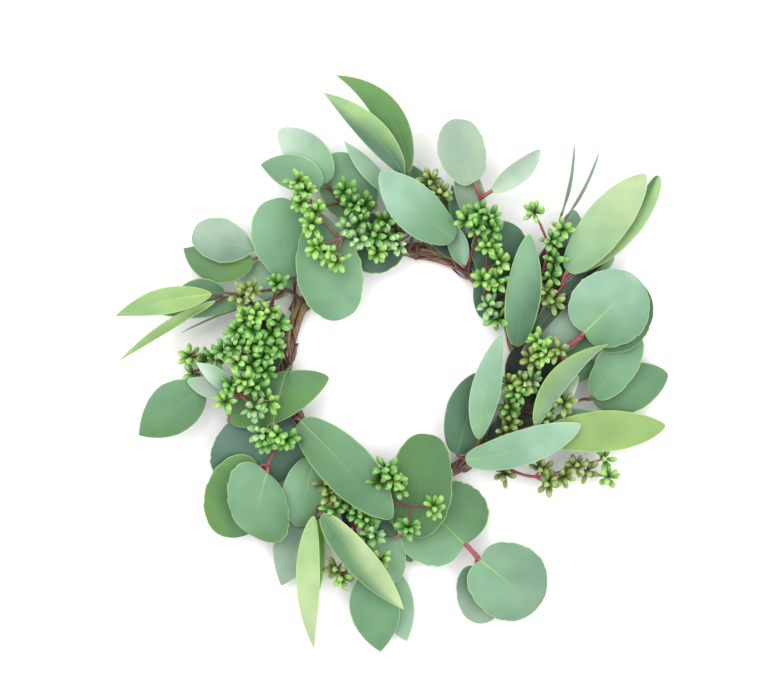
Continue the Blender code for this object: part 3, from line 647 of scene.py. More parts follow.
# %% Stalks, stems and where they lie
STALK_RADII = {"rose": (1.0, 1.25), "wine": (0.85, 0.75)}
STALK_STEPS = 12
STALK_BEND = 0.6
LONGEST_BEND = 9.0
UNDER_STEPS = 5
UNDER_SHARE = 0.22
UNDER_GAP = 0.35
STEM_RADIUS = 1.15
STEM_END_RADIUS = 0.75
STEM_STEPS = 8
STEM_SIDES = 8
PAST_THE_END = 1.2
CLEARANCE = 0.3
LYING_ANGLE = 3.5
CAD_TWIG_RADIUS = 1.9
CAD_STEM_RADIUS = 1.1
STEM_RING = WINDING_RADIUS + CAD_TWIG_RADIUS + CLEARANCE + CAD_STEM_RADIUS


def stalk(joint, item, hue):
    """A leaf's stalk: a quadratic curve from the joint to the base, then on below the midrib.

    Under the blade it lies its own radius and 0.35 mm lower, so that it isn't seen from above.
    """
    base, pull, tip = midrib(item)
    heading = unit(pull - base)
    reach = np.linalg.norm(base - joint)
    ahead = max(0.2, float(unit(base - joint) @ heading))
    bend = base - heading * min(STALK_BEND * reach * ahead, LONGEST_BEND)
    first, _ = drawn_curve(joint, bend, base, np.linspace(0.0, 1.0, STALK_STEPS))
    second, _ = drawn_curve(base, pull, tip, np.linspace(0.0, UNDER_SHARE, UNDER_STEPS + 1)[1:])
    path = np.vstack([first, second])
    start, end = STALK_RADII[hue]
    before, after = np.linspace(start, end, STALK_STEPS), end * np.linspace(0.85, 0.2, UNDER_STEPS)
    radii = np.concatenate([before, after])
    under = np.concatenate([np.linspace(0.0, 0.9, STALK_STEPS) ** 4, np.ones(UNDER_STEPS)])
    path[:, 2] -= (radii + UNDER_GAP) * under
    green = [np.linspace(0.0, 0.35, STALK_STEPS), np.linspace(0.5, 1.0, UNDER_STEPS)]
    tints = blend(paint(hue), paint("stalk_green"), np.concatenate(green))
    return rod(path, radii, STEM_SIDES, tints, STEMS)


def stem_path(root, points):
    """The stem's line: two places on the crest of a twig, then a bend through its points."""
    degrees, wanted, way = root
    sides = WINDING_TURNS * degrees + 360.0 * np.arange(TWIG_COUNT) / TWIG_COUNT
    index = int(np.argmin(np.abs((sides - wanted + 180.0) % 360.0 - 180.0)))
    angles = np.array([degrees - way * LYING_ANGLE, degrees], float)
    lying = around_ring(angles, WINDING_TURNS * angles + 360.0 * index / TWIG_COUNT, STEM_RING)
    heading = unit(lying[1] - lying[0])
    bent = bend_through(np.vstack([lying[1:], points]), heading, STEM_STEPS)
    path = np.vstack([lying[:1], bent])
    path[-1] += PAST_THE_END * unit(path[-1] - path[-2])
    return path


def stem(root, points, hue, end=STEM_END_RADIUS):
    """The stem's rod down to its end radius, with a slight swelling at every fourth ring."""
    path = stem_path(root, points)
    share = np.linspace(0.0, 1.0, len(path))
    knots = 0.12 * np.cos(math.pi * np.arange(len(path)) / 4.0) ** 8
    radii = (STEM_RADIUS + (end - STEM_RADIUS) * share) * (1.0 + knots)
    tints = blend(paint("twig"), paint(hue), np.minimum(1.0, 1.8 * share))
    return rod(path, radii, STEM_SIDES, tints, STEMS)


# %% [markdown]
# ## The finish of leaves and stems
#
# The blades are matt plastic with a chalky bloom. Along the midrib runs a fine yellow-green
# line, and a thin paler rim follows the margin. Side veins leave the midrib at a slant and are
# barely seen. All of these follow distances kept at each point, so they are as fine on a large
# leaf as on a small one. Broad noises on Object coordinates make the green uneven.

# %% Leaf and stem finishes
def leaf_finish(name, rim, rim_strength, rough, bloom):
    """Matt plastic leaf: tint, uneven green, side veins, midrib line and pale rim."""
    leaf = Finish(name, rough)
    parts = leaf.add("SeparateXYZ", {"Vector": leaf.kept("place")}).outputs
    broad = leaf.noise(45.0, 2.0)
    green = leaf.tinted(leaf.step(broad, 0.30, 0.70), (0.84, 0.88, 0.86), (1.12, 1.09, 1.07))
    yellower = leaf.step(leaf.noise(28.0, 1.0), 0.52, 0.72, 0.0, 0.35)
    green = leaf.mix(yellower, green, (1.05, 1.02, 0.72), "MULTIPLY")
    off_rib = leaf.math("ABSOLUTE", parts["X"])
    slant = leaf.math("SUBTRACT", parts["Y"], leaf.math("MULTIPLY", off_rib, 0.8))
    drift = leaf.math("MULTIPLY_ADD", leaf.noise(90.0, 1.0), 3.0, slant)
    vein = leaf.step(leaf.math("SINE", leaf.math("MULTIPLY", drift, 1.35)), 0.90, 1.0)
    green = leaf.mix(leaf.math("MULTIPLY", vein, 0.012), green, linear(rim))
    line = leaf.math("MULTIPLY", leaf.step(off_rib, 0.15, 0.70, 1.0, 0.0), leaf.kept("rib", "Fac"))
    green = leaf.mix(line, green, linear((0.62, 0.77, 0.36)))
    margin = leaf.math("MULTIPLY", leaf.step(parts["Z"], 0.10, 0.75, 1.0, 0.0), rim_strength)
    green = leaf.mix(margin, green, linear(rim))
    leaf.fill(leaf.shader["Roughness"], leaf.step(broad, 0.3, 0.7, rough - 0.06, rough + 0.08))
    leaf.fill(leaf.shader["Specular IOR Level"], 0.35)
    leaf.fill(leaf.shader["Sheen Weight"], bloom)
    leaf.fill(leaf.shader["Sheen Roughness"], 0.5)
    fine = leaf.math("MULTIPLY", leaf.noise(700.0, 2.0), 0.25)
    return leaf.done(green, 0.25, 0.0001, leaf.math("MULTIPLY_ADD", vein, 0.20, fine))


def stem_finish():
    """Satin stem: its tint, darker in fine lengthwise lines, which are also its bump."""
    satin = Finish("stem_satin", 0.5)
    lines = satin.noise(1.2, 3.0, 0.0, satin.stretched(2.0, 0.25))
    shaded = satin.tinted(satin.step(lines, 0.35, 0.65), (0.70, 0.66, 0.66), (1.15, 1.12, 1.10))
    return satin.done(shaded, 0.5, 0.0002, lines)


LEAF_FINISHES = {
    "fresh": leaf_finish("leaf_fresh", (0.78, 0.90, 0.54), 0.27, 0.50, 0.04),
    "pale": leaf_finish("leaf_pale", (0.80, 0.90, 0.74), 0.20, 0.52, 0.06),
    "grey": leaf_finish("leaf_grey", (0.78, 0.89, 0.56), 0.30, 0.54, 0.08),
    "green": leaf_finish("leaf_green", (0.74, 0.88, 0.46), 0.36, 0.50, 0.05),
}
STEM = stem_finish()

# %% [markdown]
# ## The leafy sprays
#
# Every leaf is placed from the picture, since no rule grows this wreath: its base and
# tip, its width, how it is folded, leaned, bowed and arched, and its greens. A root is an angle
# round the ring, the side of the twigs that the stem lies on (0 outside, 90 on top), and the way
# it runs. Joint 0 is the stem's first point after its root. A look is a first green, a second
# one, and how much the second comes in across the blade to the right and along it to the tip.
# A few leaves also say how clearly their midrib shows, and how far their halves are skewed.
# The near-black "shade" green is painted shade. Low leaves that wear it are tucked into the hollows
# under the buds and the other leaves, as dark sheets that stand in for the deep shadow there.

# %% Leafy sprays
Spray = namedtuple("Spray", "name tone hue root stem leaves end", defaults=(STEM_END_RADIUS,))
SPRAYS = [
    Spray("leaves_top_long", "fresh", "wine", (74, 60, 1), [
        (9, 84, 16), (5, 98, 20), (4, 108, 22)], [
        Leaf(2, (4, 116, 24), (-40, 174, 26), 17, LONG, 12, 0, 11, 6, ("grass", "fern", 0.6, 1)),
        Leaf(2, (1, 115, 26), (-47, 163, 31), 18, LONG, 24, -8, 4, 6, ("pine", "lime", 1.2, 1.2)),
        Leaf(1, (-6, 102, 21), (-35, 135, 20), 11, LONG, 8, 0, 0, 2, ("jade", "mint", 0, 1)),
    ]),
    Spray("leaves_top_broad", "pale", "rose", (57.5, 95, 1), [(30.5, 66, 13), (29, 75, 16)], [
        Leaf(1, (31, 76, 23), (-13, 116, 30), 28, OVAL, 8, 0, -2, 2, ("leaf", "mint", 0, 1.6)),
        Leaf(1, (31, 84, 12), (2, 122, 10), 16, OVAL, 10, 0, 0, 1, ("fern", "leaf", 0, 1)),
        Leaf(0, (37.5, 60, 16), (28, 90, 19), 13, LONG, 18, -6, 0, 0, ("leaf", "mint", 1.4, -0.2), 0.0),
        Leaf(0, (37, 65, 10.5), (14, 83, 11), 13, OVAL, 6, 0, 0, 0, ("deep", "shade", 0, 1)),
    ]),
    Spray("leaves_top_right", "grey", "rose", (44, 40, 1), [
        (54, 64, 9), (49, 82, 12), (47, 100, 19)], [
        Leaf(2, (43, 110, 25), (35, 148, 22), 29, BLUNT, 6, 0, -3, 3, ("fog", "fog", 0.6, 0.2)),
        Leaf(1, (44, 89, 16), (36, 122, 18), 18, OVAL, 8, 0, 0, 2, ("sage", "fog", 0, -1)),
        Leaf(1, (39, 79, 15), (30, 109, 15), 17, LONG, 36, 10, 0, 1, ("pine", "mint", 1.4, 0)),
        Leaf(2, (54, 105, 24), (83, 130, 20), 13, OVAL, 8, 0, 2, 3, ("fog", "milk", 1, 0)),
    ]),
    Spray("leaves_top_left", "green", "wine", (93, 10, 1), [
        (-22, 80, 12), (-37, 98, 16), (-43, 106, 18)], [
        Leaf(2, (-45, 110, 20), (-74, 142, 18), 25, OVAL, 6, 0, 2, 3, ("jade", "milk", -0.4, 1.2)),
        Leaf(2, (-48, 108, 23), (-85, 121, 18), 22, POINTED, 8, 0, 2, 3, ("leaf", "jade", 0.6, -0.3)),
        Leaf(0, (-23, 91, 13), (-44, 127, 14), 34, ROUND, 5, 0, 0, 1, ("leaf", "jade", 0, 1)),
        Leaf(1, (-50, 92, 24), (-34, 29, 18), 39, HEAVY, 5, 0, 3, 3, ("leaf", "jade", -0.8, 0.8)),
        Leaf(0, (0, 76, 13), (-36, 72, 15), 36, ROUND, 3, 0, 0, 1, ("deep", "pine", 0, 0.6)),
    ]),
    Spray("leaves_left_upper_round", "green", "wine", (150, 0, -1), [(-65, 48, 8)], [
        Leaf(0, (-65, 54, 15), (-78, 100, 20), 36, BLUNT, 4, 0, 0, 3, ("jade", "leaf", 1, -0.4)),
        Leaf(0, (-66, 50, 9), (-94, 55, 8), 25, ROUND, 4, 0, 0, 1, ("jade", "mint", 0, 0.4)),
    ]),
    Spray("leaves_left_upper", "grey", "wine", (134, 60, 1), [
        (-60, 57, 12), (-76, 62, 13), (-86, 66, 16)], [
        Leaf(2, (-89, 70, 18), (-126, 80, 14), 26, HEAVY, 6, 0, 0, 3, ("sage", "fog", 1, 0.6)),
        Leaf(2, (-90, 64, 15), (-132, 71, 9), 25, POINTED, 6, 0, -5, 3, ("fern", "ivy", 0, 1)),
    ]),
    Spray("leaves_left_long", "fresh", "wine", (145, 90, 1), [
        (-70, 46, 14), (-91, 44, 18), (-108, 41, 20)], [
        Leaf(2, (-114, 43, 23), (-173, 30, 12), 16, LONG, 14, 0, 2, 7, ("moss", "lime", 0, 0.3), 0.5),
        Leaf(2, (-112, 39, 20), (-172, 2, 10), 8, LONG, 36, 6, 2, 3, ("moss", "lime", 1.2, 0.4)),
        Leaf(1, (-94, 39, 14), (-151, 32, 9), 13, LONG, 8, 0, 0, 2, ("leaf", "jade", 0, 1)),
        Leaf(1, (-107, 44, 17), (-133, 47, 14), 14, OVAL, 8, 0, 0, 2, ("pine", "leaf", 0, 1)),
        Leaf(0, (-76, 41, 14), (-133, 20, 12), 11, LONG, 6, 78, 2, 1, ("deep", "pine", 0, 1)),
        # Painted shade: a near-black leaf under the buds on the left, for the shadow there.
        Leaf(0, (-80, 34, 11), (-88, -14, 11), 26, OVAL, 6, 0, 0, 1, ("shade", "deep", 0, 1)),
    ]),
    Spray("leaves_left_lower", "pale", "rose", (196, 60, -1), [
        (-84, -16, 12), (-98, -17, 15), (-116, -11, 15)], [
        Leaf(1, (-101, -15.5, 25), (-123, 2, 26), 10.5, POINTED, 12, 0, 1, 2,
             ("jade", "milk", -0.4, 1)),
        Leaf(1, (-102, -17, 17), (-129, -9, 18), 12, OVAL, 6, 0, 0, 1, ("milk", "fog", 0, 1)),
        Leaf(2, (-120, -13, 15), (-159, -42, 9), 31, POINTED, 6, 0, 0, 3, ("ivy", "leaf", 1, 0)),
        Leaf(1, (-104, -33, 15), (-44, -7, 16), 28, OVAL, 6, 0, -2, 3, ("ivy", "fern", 1, 0)),
    ]),
    Spray("leaves_lower_left_round", "grey", "rose", (212, 10, 1), [
        (-76, -50, 12), (-81, -60, 16)], [
        Leaf(1, (-81, -71, 9), (-95, -29, 10), 57, ROUND, 3, 0, 0, 1, ("pine", "slate", 0, 0.4)),
        Leaf(1, (-86, -61, 14), (-104.5, -103.5, 12), 42, ROUND, 5, 0, 4.2, 2,
             ("pine", "fern", 1.0, 0.2), 0.12, -0.05),
        Leaf(1, (-81, -64, 20), (-89, -102.5, 18), 42, BLUNT, 5, 0, 1, 3,
             ("ivy", "jade", 0.6, -0.2), 0.35, -0.42),
    ]),
    Spray("leaves_lower_left_hanging", "green", "wine", (221, 50, 1), [
        (-58, -60, 10), (-59, -74, 10)], [
        Leaf(0, (-53, -56, 12), (-63, -97, 13), 30, OVAL, 16, 0, 0, 2, ("ivy", "jade", 1.6, 0), 0.4),
        Leaf(1, (-55, -86, 10), (-73, -133, 8), 27, POINTED, 8, 0, 0, 2, ("sage", "fog", 0, 1)),
    ]),
    Spray("leaves_lower_long", "fresh", "wine", (238, 110, 1), [(-42, -70, 13), (-48, -83, 15)], [
        Leaf(1, (-53, -90, 19), (-53, -171, 12), 15, LONG, 12, 0, 3.5, 4, ("lime", "cream", 0, 1)),
        Leaf(1, (-50, -92, 15), (-50, -137, 12), 8, LONG, 8, -20, 0, 1, ("vivid", "vivid", 0, 0)),
        Leaf(1, (-48, -89, 23), (1, -146, 20), 20, POINTED, 20, 0, 0, 4, ("cream", "ivy", 1.3, -1.0)),
    ]),
    Spray("leaf_over_ring_lower_left", "green", "wine", (205, 90, 1), [(-65, -32, 15)], [
        Leaf(0, (-61, -33, 18), (-6, -91, 27), 32, OVAL, 8, 0, -1, 4, ("ivy", "leaf", -0.8, 0.2), 0.3),
    ]),
    Spray("leaves_bottom", "green", "wine", (243, 10, 1), [
        (-33, -80, 8), (-29, -98, 8), (-20, -116, 9)], [
        Leaf(2, (-19, -125, 11), (-13, -173, 8), 31, POINTED, 6, 0, 0, 2, ("leaf", "leaf", 0, 1)),
        Leaf(2, (-12, -121, 8), (3, -167, 6), 25, POINTED, 6, 0, 0, 1, ("jade", "mint", 0, 0.6)),
        Leaf(1, (-17, -94, 9), (-3, -131, 10), 25, OVAL, 6, 0, 0, 1, ("jade", "mint", 0.6, 0)),
        # Painted shade: a near-black leaf low in the hollow under the buds.
        Leaf(0, (-30, -77, 6.5), (-33, -100, 5.5), 11, OVAL, 6, 0, 0, 0, ("shade", "shade", 0, 1)),
    ]),
    Spray("leaves_bottom_round", "green", "rose", (272, 120, 1), [(5, -84, 13), (3, -98, 15.5)], [
        Leaf(1, (6, -103, 16), (16, -41, 19), 39, BLUNT, 6, 0, 0, 3, ("grass", "ivy", 0.5, -0.5)),
        Leaf(1, (-5, -103, 14), (-16, -92, 14), 10, OVAL, 6, 0, 0, 0, ("deep", "pine", 0, 1)),
        Leaf(1, (0, -104, 9.5), (6, -119, 6), 11, OVAL, 6, 0, 0, 0, ("pine", "leaf", 0, 1)),
    ]),
    Spray("leaves_bottom_right", "green", "rose", (287, 50, 1), [
        (29, -86, 8), (36, -104, 8), (46, -116, 10)], [
        Leaf(1, (38, -108, 10), (9, -79, 11), 59, ROUND, 3, 0, 0, 1, ("ivy", "jade", -1, 0), 0.4),
        Leaf(2, (47, -117, 13), (83, -145, 9), 47, ROUND, 4, 0, 0, 3, ("jade", "sage", -0.3, 0.4), 0.5),
        Leaf(2, (45, -121, 9), (49, -156, 6), 29, ROUND, 5, 0, 0, 1, ("pine", "fog", 0, 1.2)),
    ], 1.5),
    Spray("leaves_right_lower_ring", "pale", "wine", (300, 120, 1), [(38, -56, 14)], [
        Leaf(0, (46, -44, 21), (61, 22, 25), 18, LONG, 14, 0, -3, 4, ("jade", "mint", -0.6, 0.8)),
        Leaf(0, (33, -53, 15), (46, -4, 16), 27, OVAL, 7, 0, 0, 1, ("deep", "pine", -1, 0)),
        Leaf(0, (38, -56, 24), (107, -35, 24), 22, OVAL, 10, 0, 3, 4, ("jade", "mint", 0, 0.8)),
        # Painted shade: a near-black leaf low in the hollow.
        Leaf(0, (53, -50, 12), (63, -30, 12), 12, OVAL, 6, 0, 0, 0, ("shade", "deep", 0, 1)),
    ]),
    Spray("leaves_right_lower", "fresh", "wine", (328, 0, 1), [(71, -37, 14), (79, -39, 18)], [
        Leaf(1, (84, -41, 20), (159, -36, 12), 25, OVAL, 10, 0, 1, 4, ("moss", "moss", 0, 0)),
        Leaf(1, (80, -37, 14), (119, -28, 14), 14, LONG, 6, 0, 0, 1, ("leaf", "jade", 0, 1)),
        Leaf(1, (80, -37, 24), (123, 13, 26), 14, LONG, 20, 6, -9, 3, ("moss", "sage", 0.6, 0)),
        Leaf(0, (86, -31, 18), (106, -6, 20), 18, OVAL, 14, -8, -3, 1, ("fog", "milk", 1, 0)),
    ]),
    Spray("leaves_right", "green", "wine", (338, 30, 1), [
        (81, -22, 9), (98, -23, 10), (110, -20, 11)], [
        Leaf(2, (115, -18, 15), (140, 20, 14), 25, BLUNT, 6, 0, 2, 2, ("leaf", "jade", 0, 0.2)),
        Leaf(2, (115, -20, 11), (161, -5, 7), 30, OVAL, 6, 0, 0, 2, ("leaf", "ivy", 0.6, 0)),
        Leaf(1, (97, -9, 11), (119, 2, 11), 12, OVAL, 6, 0, 0, 0, ("pine", "leaf", 0, 1)),
        # Painted shade: three near-black leaves that fill the dark hollow on the right.
        Leaf(0, (76, -24, 11.5), (69, 12, 12.5), 22, OVAL, 6, 0, 0, 0, ("shade", "shade", 0, 1)),
        Leaf(1, (95, -20, 11), (84, 12, 12), 20, OVAL, 6, 0, 0, 0, ("shade", "shade", 0, 1)),
        Leaf(0, (66, -38, 10.5), (96, -22, 10.5), 18, OVAL, 6, 0, 0, 0, ("shade", "deep", 0, 1)),
    ]),
    Spray("leaves_right_upper", "pale", "rose", (3, 10, 1), [
        (83, 13, 12), (96, 10, 16), (107, 17, 20)], [
        Leaf(2, (109, 20, 23), (142, 52, 21), 46, ROUND, 4, 0, 0, 3, ("leaf", "mint", -0.6, 0.4), 0.6),
        Leaf(2, (111, 20, 18), (147, 47, 14), 47, ROUND, 4, 0, 0, 2, ("ivy", "grass", 0, 0.8)),
        Leaf(0, (83, 10, 14), (113, 35, 15), 25, OVAL, 8, 0, 0, 1, ("sage", "milk", -1, 0)),
        Leaf(0, (73, 9, 19), (131, 72, 14), 11, LONG, 20, -16, -4, 2, ("deep", "shade", 1, 0)),
        Leaf(1, (97, 4, 12), (119, 16, 13), 17, OVAL, 6, 0, 0, 0, ("ivy", "leaf", 0, 1)),
    ], 1.6),
    Spray("leaves_upper_right_large", "fresh", "rose", (11, 45, 1), [
        (78, 26, 13), (88, 36, 16), (96, 48, 19)], [
        Leaf(2, (99, 57, 22), (146, 115, 22), 27, OVAL, 8, 0, 0, 4, ("jade", "cream", 0, 0.7)),
        Leaf(2, (102, 55, 18), (154.5, 114.5, 15), 14, HEAVY, 24, 0, 7.5, 4,
             ("grass", "lime", 3.0, 0.3)),
        Leaf(2, (97, 60, 14), (104, 94, 13), 18, OVAL, 6, 0, 0, 1, ("sage", "mint", 0, 1)),
        Leaf(2, (104, 52, 15), (128, 66, 14), 13, OVAL, 6, 0, 0, 0, ("jade", "lime", 0, 1)),
        # Painted shade: a near-black leaf behind the buds.
        Leaf(0, (84, 38, 14), (95, 78, 14), 19, OVAL, 6, 0, 0, 1, ("shade", "shade", 0, 1)),
    ]),
    Spray("leaves_upper_right_dark", "green", "wine", (35, 15, -1), [
        (66, 40, 11), (69, 27, 14)], [
        Leaf(0, (62, 51, 15), (57, 87, 17), 36, ROUND, 4, 0, 0, 2, ("deep", "pine", 0, 1)),
        # Painted shade, in part: two dark leaves whose near-black side fills the shadow here.
        Leaf(0, (60, 43, 12), (43, 43, 11), 31, ROUND, 3, 0, 0, 0, ("shade", "pine", 0, 0.6)),
        Leaf(0, (50, 56, 11.5), (38, 79, 12), 15, OVAL, 6, 0, 0, 0, ("pine", "shade", 0, 0.6)),
        Leaf(1, (69, 12, 20), (76, 79, 26), 21, OVAL, 12, 0, 0, 3, ("pine", "jade", -0.6, 1.2), 0.05),
    ]),
    Spray("leaves_upper_right_edge", "grey", "wine", (19, 75, 1), [
        (80, 42, 12), (92, 66, 16), (95, 82, 20)], [
        Leaf(2, (96, 92, 22), (103, 135, 24), 8, LONG, 4, 70, 2, 1, ("ash", "sage", 0, 1)),
        Leaf(2, (100, 91, 20), (119, 131, 20), 8, LONG, 4, 72, 2, 1, ("ash", "sage", 0, 1)),
    ]),
]

for spray in SPRAYS:
    shells = [stem(spray.root, spray.stem, spray.hue, spray.end)]
    for item in spray.leaves:
        joint = np.array(spray.stem[item.joint], float)
        shells += [blade(item), stalk(joint, item, spray.hue)]
    piece = join_shells(f"{spray.name}_moulded", shells, [LEAF_FINISHES[spray.tone], STEM])
    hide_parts(spray.name)
print("leafy sprays:", len(SPRAYS), "with", sum(len(s.leaves) for s in SPRAYS), "leaves")

# %% [markdown]
# ## Clusters of buds
#
# A cluster is a handful of club-shaped buds that spring from one point at the end of a branch:
# a thin neck, a swollen body and a pale pointed cap. The directions are spread evenly over a
# sphere by the golden angle, and those that would point back down the branch are left out. All
# the buds of a cluster are worked out as one array. There are over a thousand buds, so each has
# only a few dozen faces.
# Each bud's neck is painted a dark green that stands for the shade in the crevices between the crowded
# buds, and its colour grows to a little lighter than the body's green towards the cap.

# %% The bud and the cluster
BUD_SHARE = np.array([0.04, 0.20, 0.38, 0.58, 0.78, 0.92, 1.00])
BUD_RADII = np.array([0.45, 0.85, 1.45, 1.90, 1.80, 1.15, 0.15])
# Share from the painted crevice shade at the neck to the body's green, and a little past it.
BUD_SHADE_RAMP = np.array([0.00, 0.08, 0.40, 0.84, 1.08, 1.16, 1.22])
BUD_SIDES = 6
BUD_RIBS = 0.13
BUD_TIP_PALE = 0.42
BUD_TIP_START = 0.60
BUD_REACH = 9.0
BUD_COUNT = 13
BUD_SIZES = (0.78, 1.10)
BUD_TONES = (0.85, 1.15)
HEADING_SHIFT = 0.14
BACK_LIMIT = 0.62
NEARLY_UPRIGHT = 0.9
ODD_DIRECTION = np.array([0.31, 0.17, 0.93])
GOLDEN_ANGLE = math.pi * (3.0 - math.sqrt(5.0))
BRANCH_RADII = (0.75, 0.6)
BRANCH_STEPS = 8
BRANCH_SIDES = 6
BRANCH_DROP = 0.08
Seeds = namedtuple("Seeds", "name hue root stem clusters")
rng = np.random.default_rng(20)


def bud_headings(back, wanted):
    """Unit directions spread over a sphere, without those nearer to the branch than a limit.

    Direction n has z = 1 - (2n + 1) / count and turns by the golden angle from one to the next.
    Small seeded shifts make each cluster its own.
    """
    n = np.arange(wanted)
    z = 1.0 - (2.0 * n + 1.0) / wanted
    turn = GOLDEN_ANGLE * n + rng.uniform(0.0, 2.0 * math.pi)
    flat = np.sqrt(1.0 - z**2)
    spread = np.stack([flat * np.cos(turn), flat * np.sin(turn), z], axis=-1)
    side = unit(np.cross(back, UP if abs(back[2]) < NEARLY_UPRIGHT else SIDEWAYS))
    axes = np.stack([side, np.cross(back, side), -back])
    headings = unit(spread @ axes + rng.normal(0.0, HEADING_SHIFT, (wanted, 3)))
    return headings[headings @ back < BACK_LIMIT]


def buds(middle, back, tone, size):
    """A cluster's buds: middle + heading * reach * share + radius * (cos u + sin v), as shells.

    Here u is square to the heading and to an odd direction, and v to the heading and u. The
    radius is 13 % more at every other side and 13 % less between, which gives three ribs.
    """
    headings = bud_headings(back, round(BUD_COUNT * size))
    count = len(headings)
    reach = BUD_REACH * rng.uniform(*BUD_SIZES, (count, 1, 1, 1))
    u = unit(np.cross(headings, ODD_DIRECTION))
    v = np.cross(headings, u)
    angle = round_angles(BUD_SIDES)[:, None]
    circle = np.cos(angle) * u[:, None] + np.sin(angle) * v[:, None]
    ribs = 1.0 + BUD_RIBS * np.cos(math.pi * np.arange(BUD_SIDES))[:, None]
    radii = BUD_RADII[None, :, None, None] * ribs * rng.uniform(*BUD_SIZES, (count, 1, 1, 1))
    rings = (middle + headings[:, None, None] * BUD_SHARE[None, :, None, None] * reach
             + radii * circle[:, None])
    body = paint(tone) * rng.uniform(*BUD_TONES, (count, 1, 1, 1))
    # Painted shade: dark green at the neck, where the buds crowd together.
    hues_with_crevice_shade = blend(paint("bud_crevice_shade"), body, BUD_SHADE_RAMP[:, None])
    cap = np.clip((BUD_SHARE - BUD_TIP_START) / (1.0 - BUD_TIP_START), 0.0, 1.0)[:, None]
    tints = np.broadcast_to(blend(hues_with_crevice_shade, paint("bud_tip"), BUD_TIP_PALE * cap), rings.shape)
    place = rod_place(BUD_RADII.mean(), BUD_SIDES, BUD_SHARE * BUD_REACH)
    return [Shell(rings[k], tints[k], place, MAIN) for k in range(count)]


def branch(joint, middle, hue):
    """A branch from the stem to the cluster's middle, which hangs down a little on its way."""
    drop = BRANCH_DROP * np.linalg.norm(middle - joint) * UP
    t = np.linspace(0.0, 1.0, BRANCH_STEPS)
    path, _ = drawn_curve(joint, (joint + middle) / 2.0 - drop, middle, t)
    return rod(path, np.linspace(*BRANCH_RADII, BRANCH_STEPS), BRANCH_SIDES, paint(hue), STEMS)


def bud_finish():
    """Satin plastic buds: their tint in small uneven patches, and a bump of ribs down the sides."""
    satin = Finish("bud_satin", 0.42)
    patches = satin.step(satin.noise(500.0, 2.0), 0.35, 0.65)
    shaded = satin.tinted(patches, (0.84, 0.86, 0.80), (1.14, 1.12, 1.08))
    satin.fill(satin.shader["Specular IOR Level"], 0.4)
    ribs = satin.noise(1.5, 1.0, 0.0, satin.stretched(1.4, 0.1))
    return satin.done(shaded, 0.4, 0.0003, ribs)


BUD = bud_finish()

# %% [markdown]
# ## The sprays of buds
#
# Each spray has a stem and its clusters: the stem point the branch leaves, the cluster's middle
# as three numbers, its green, and its size if it isn't a full one. The first clusters of each
# list are those of the CAD spray. The ones after them fill the spray up to the density of the
# real one.

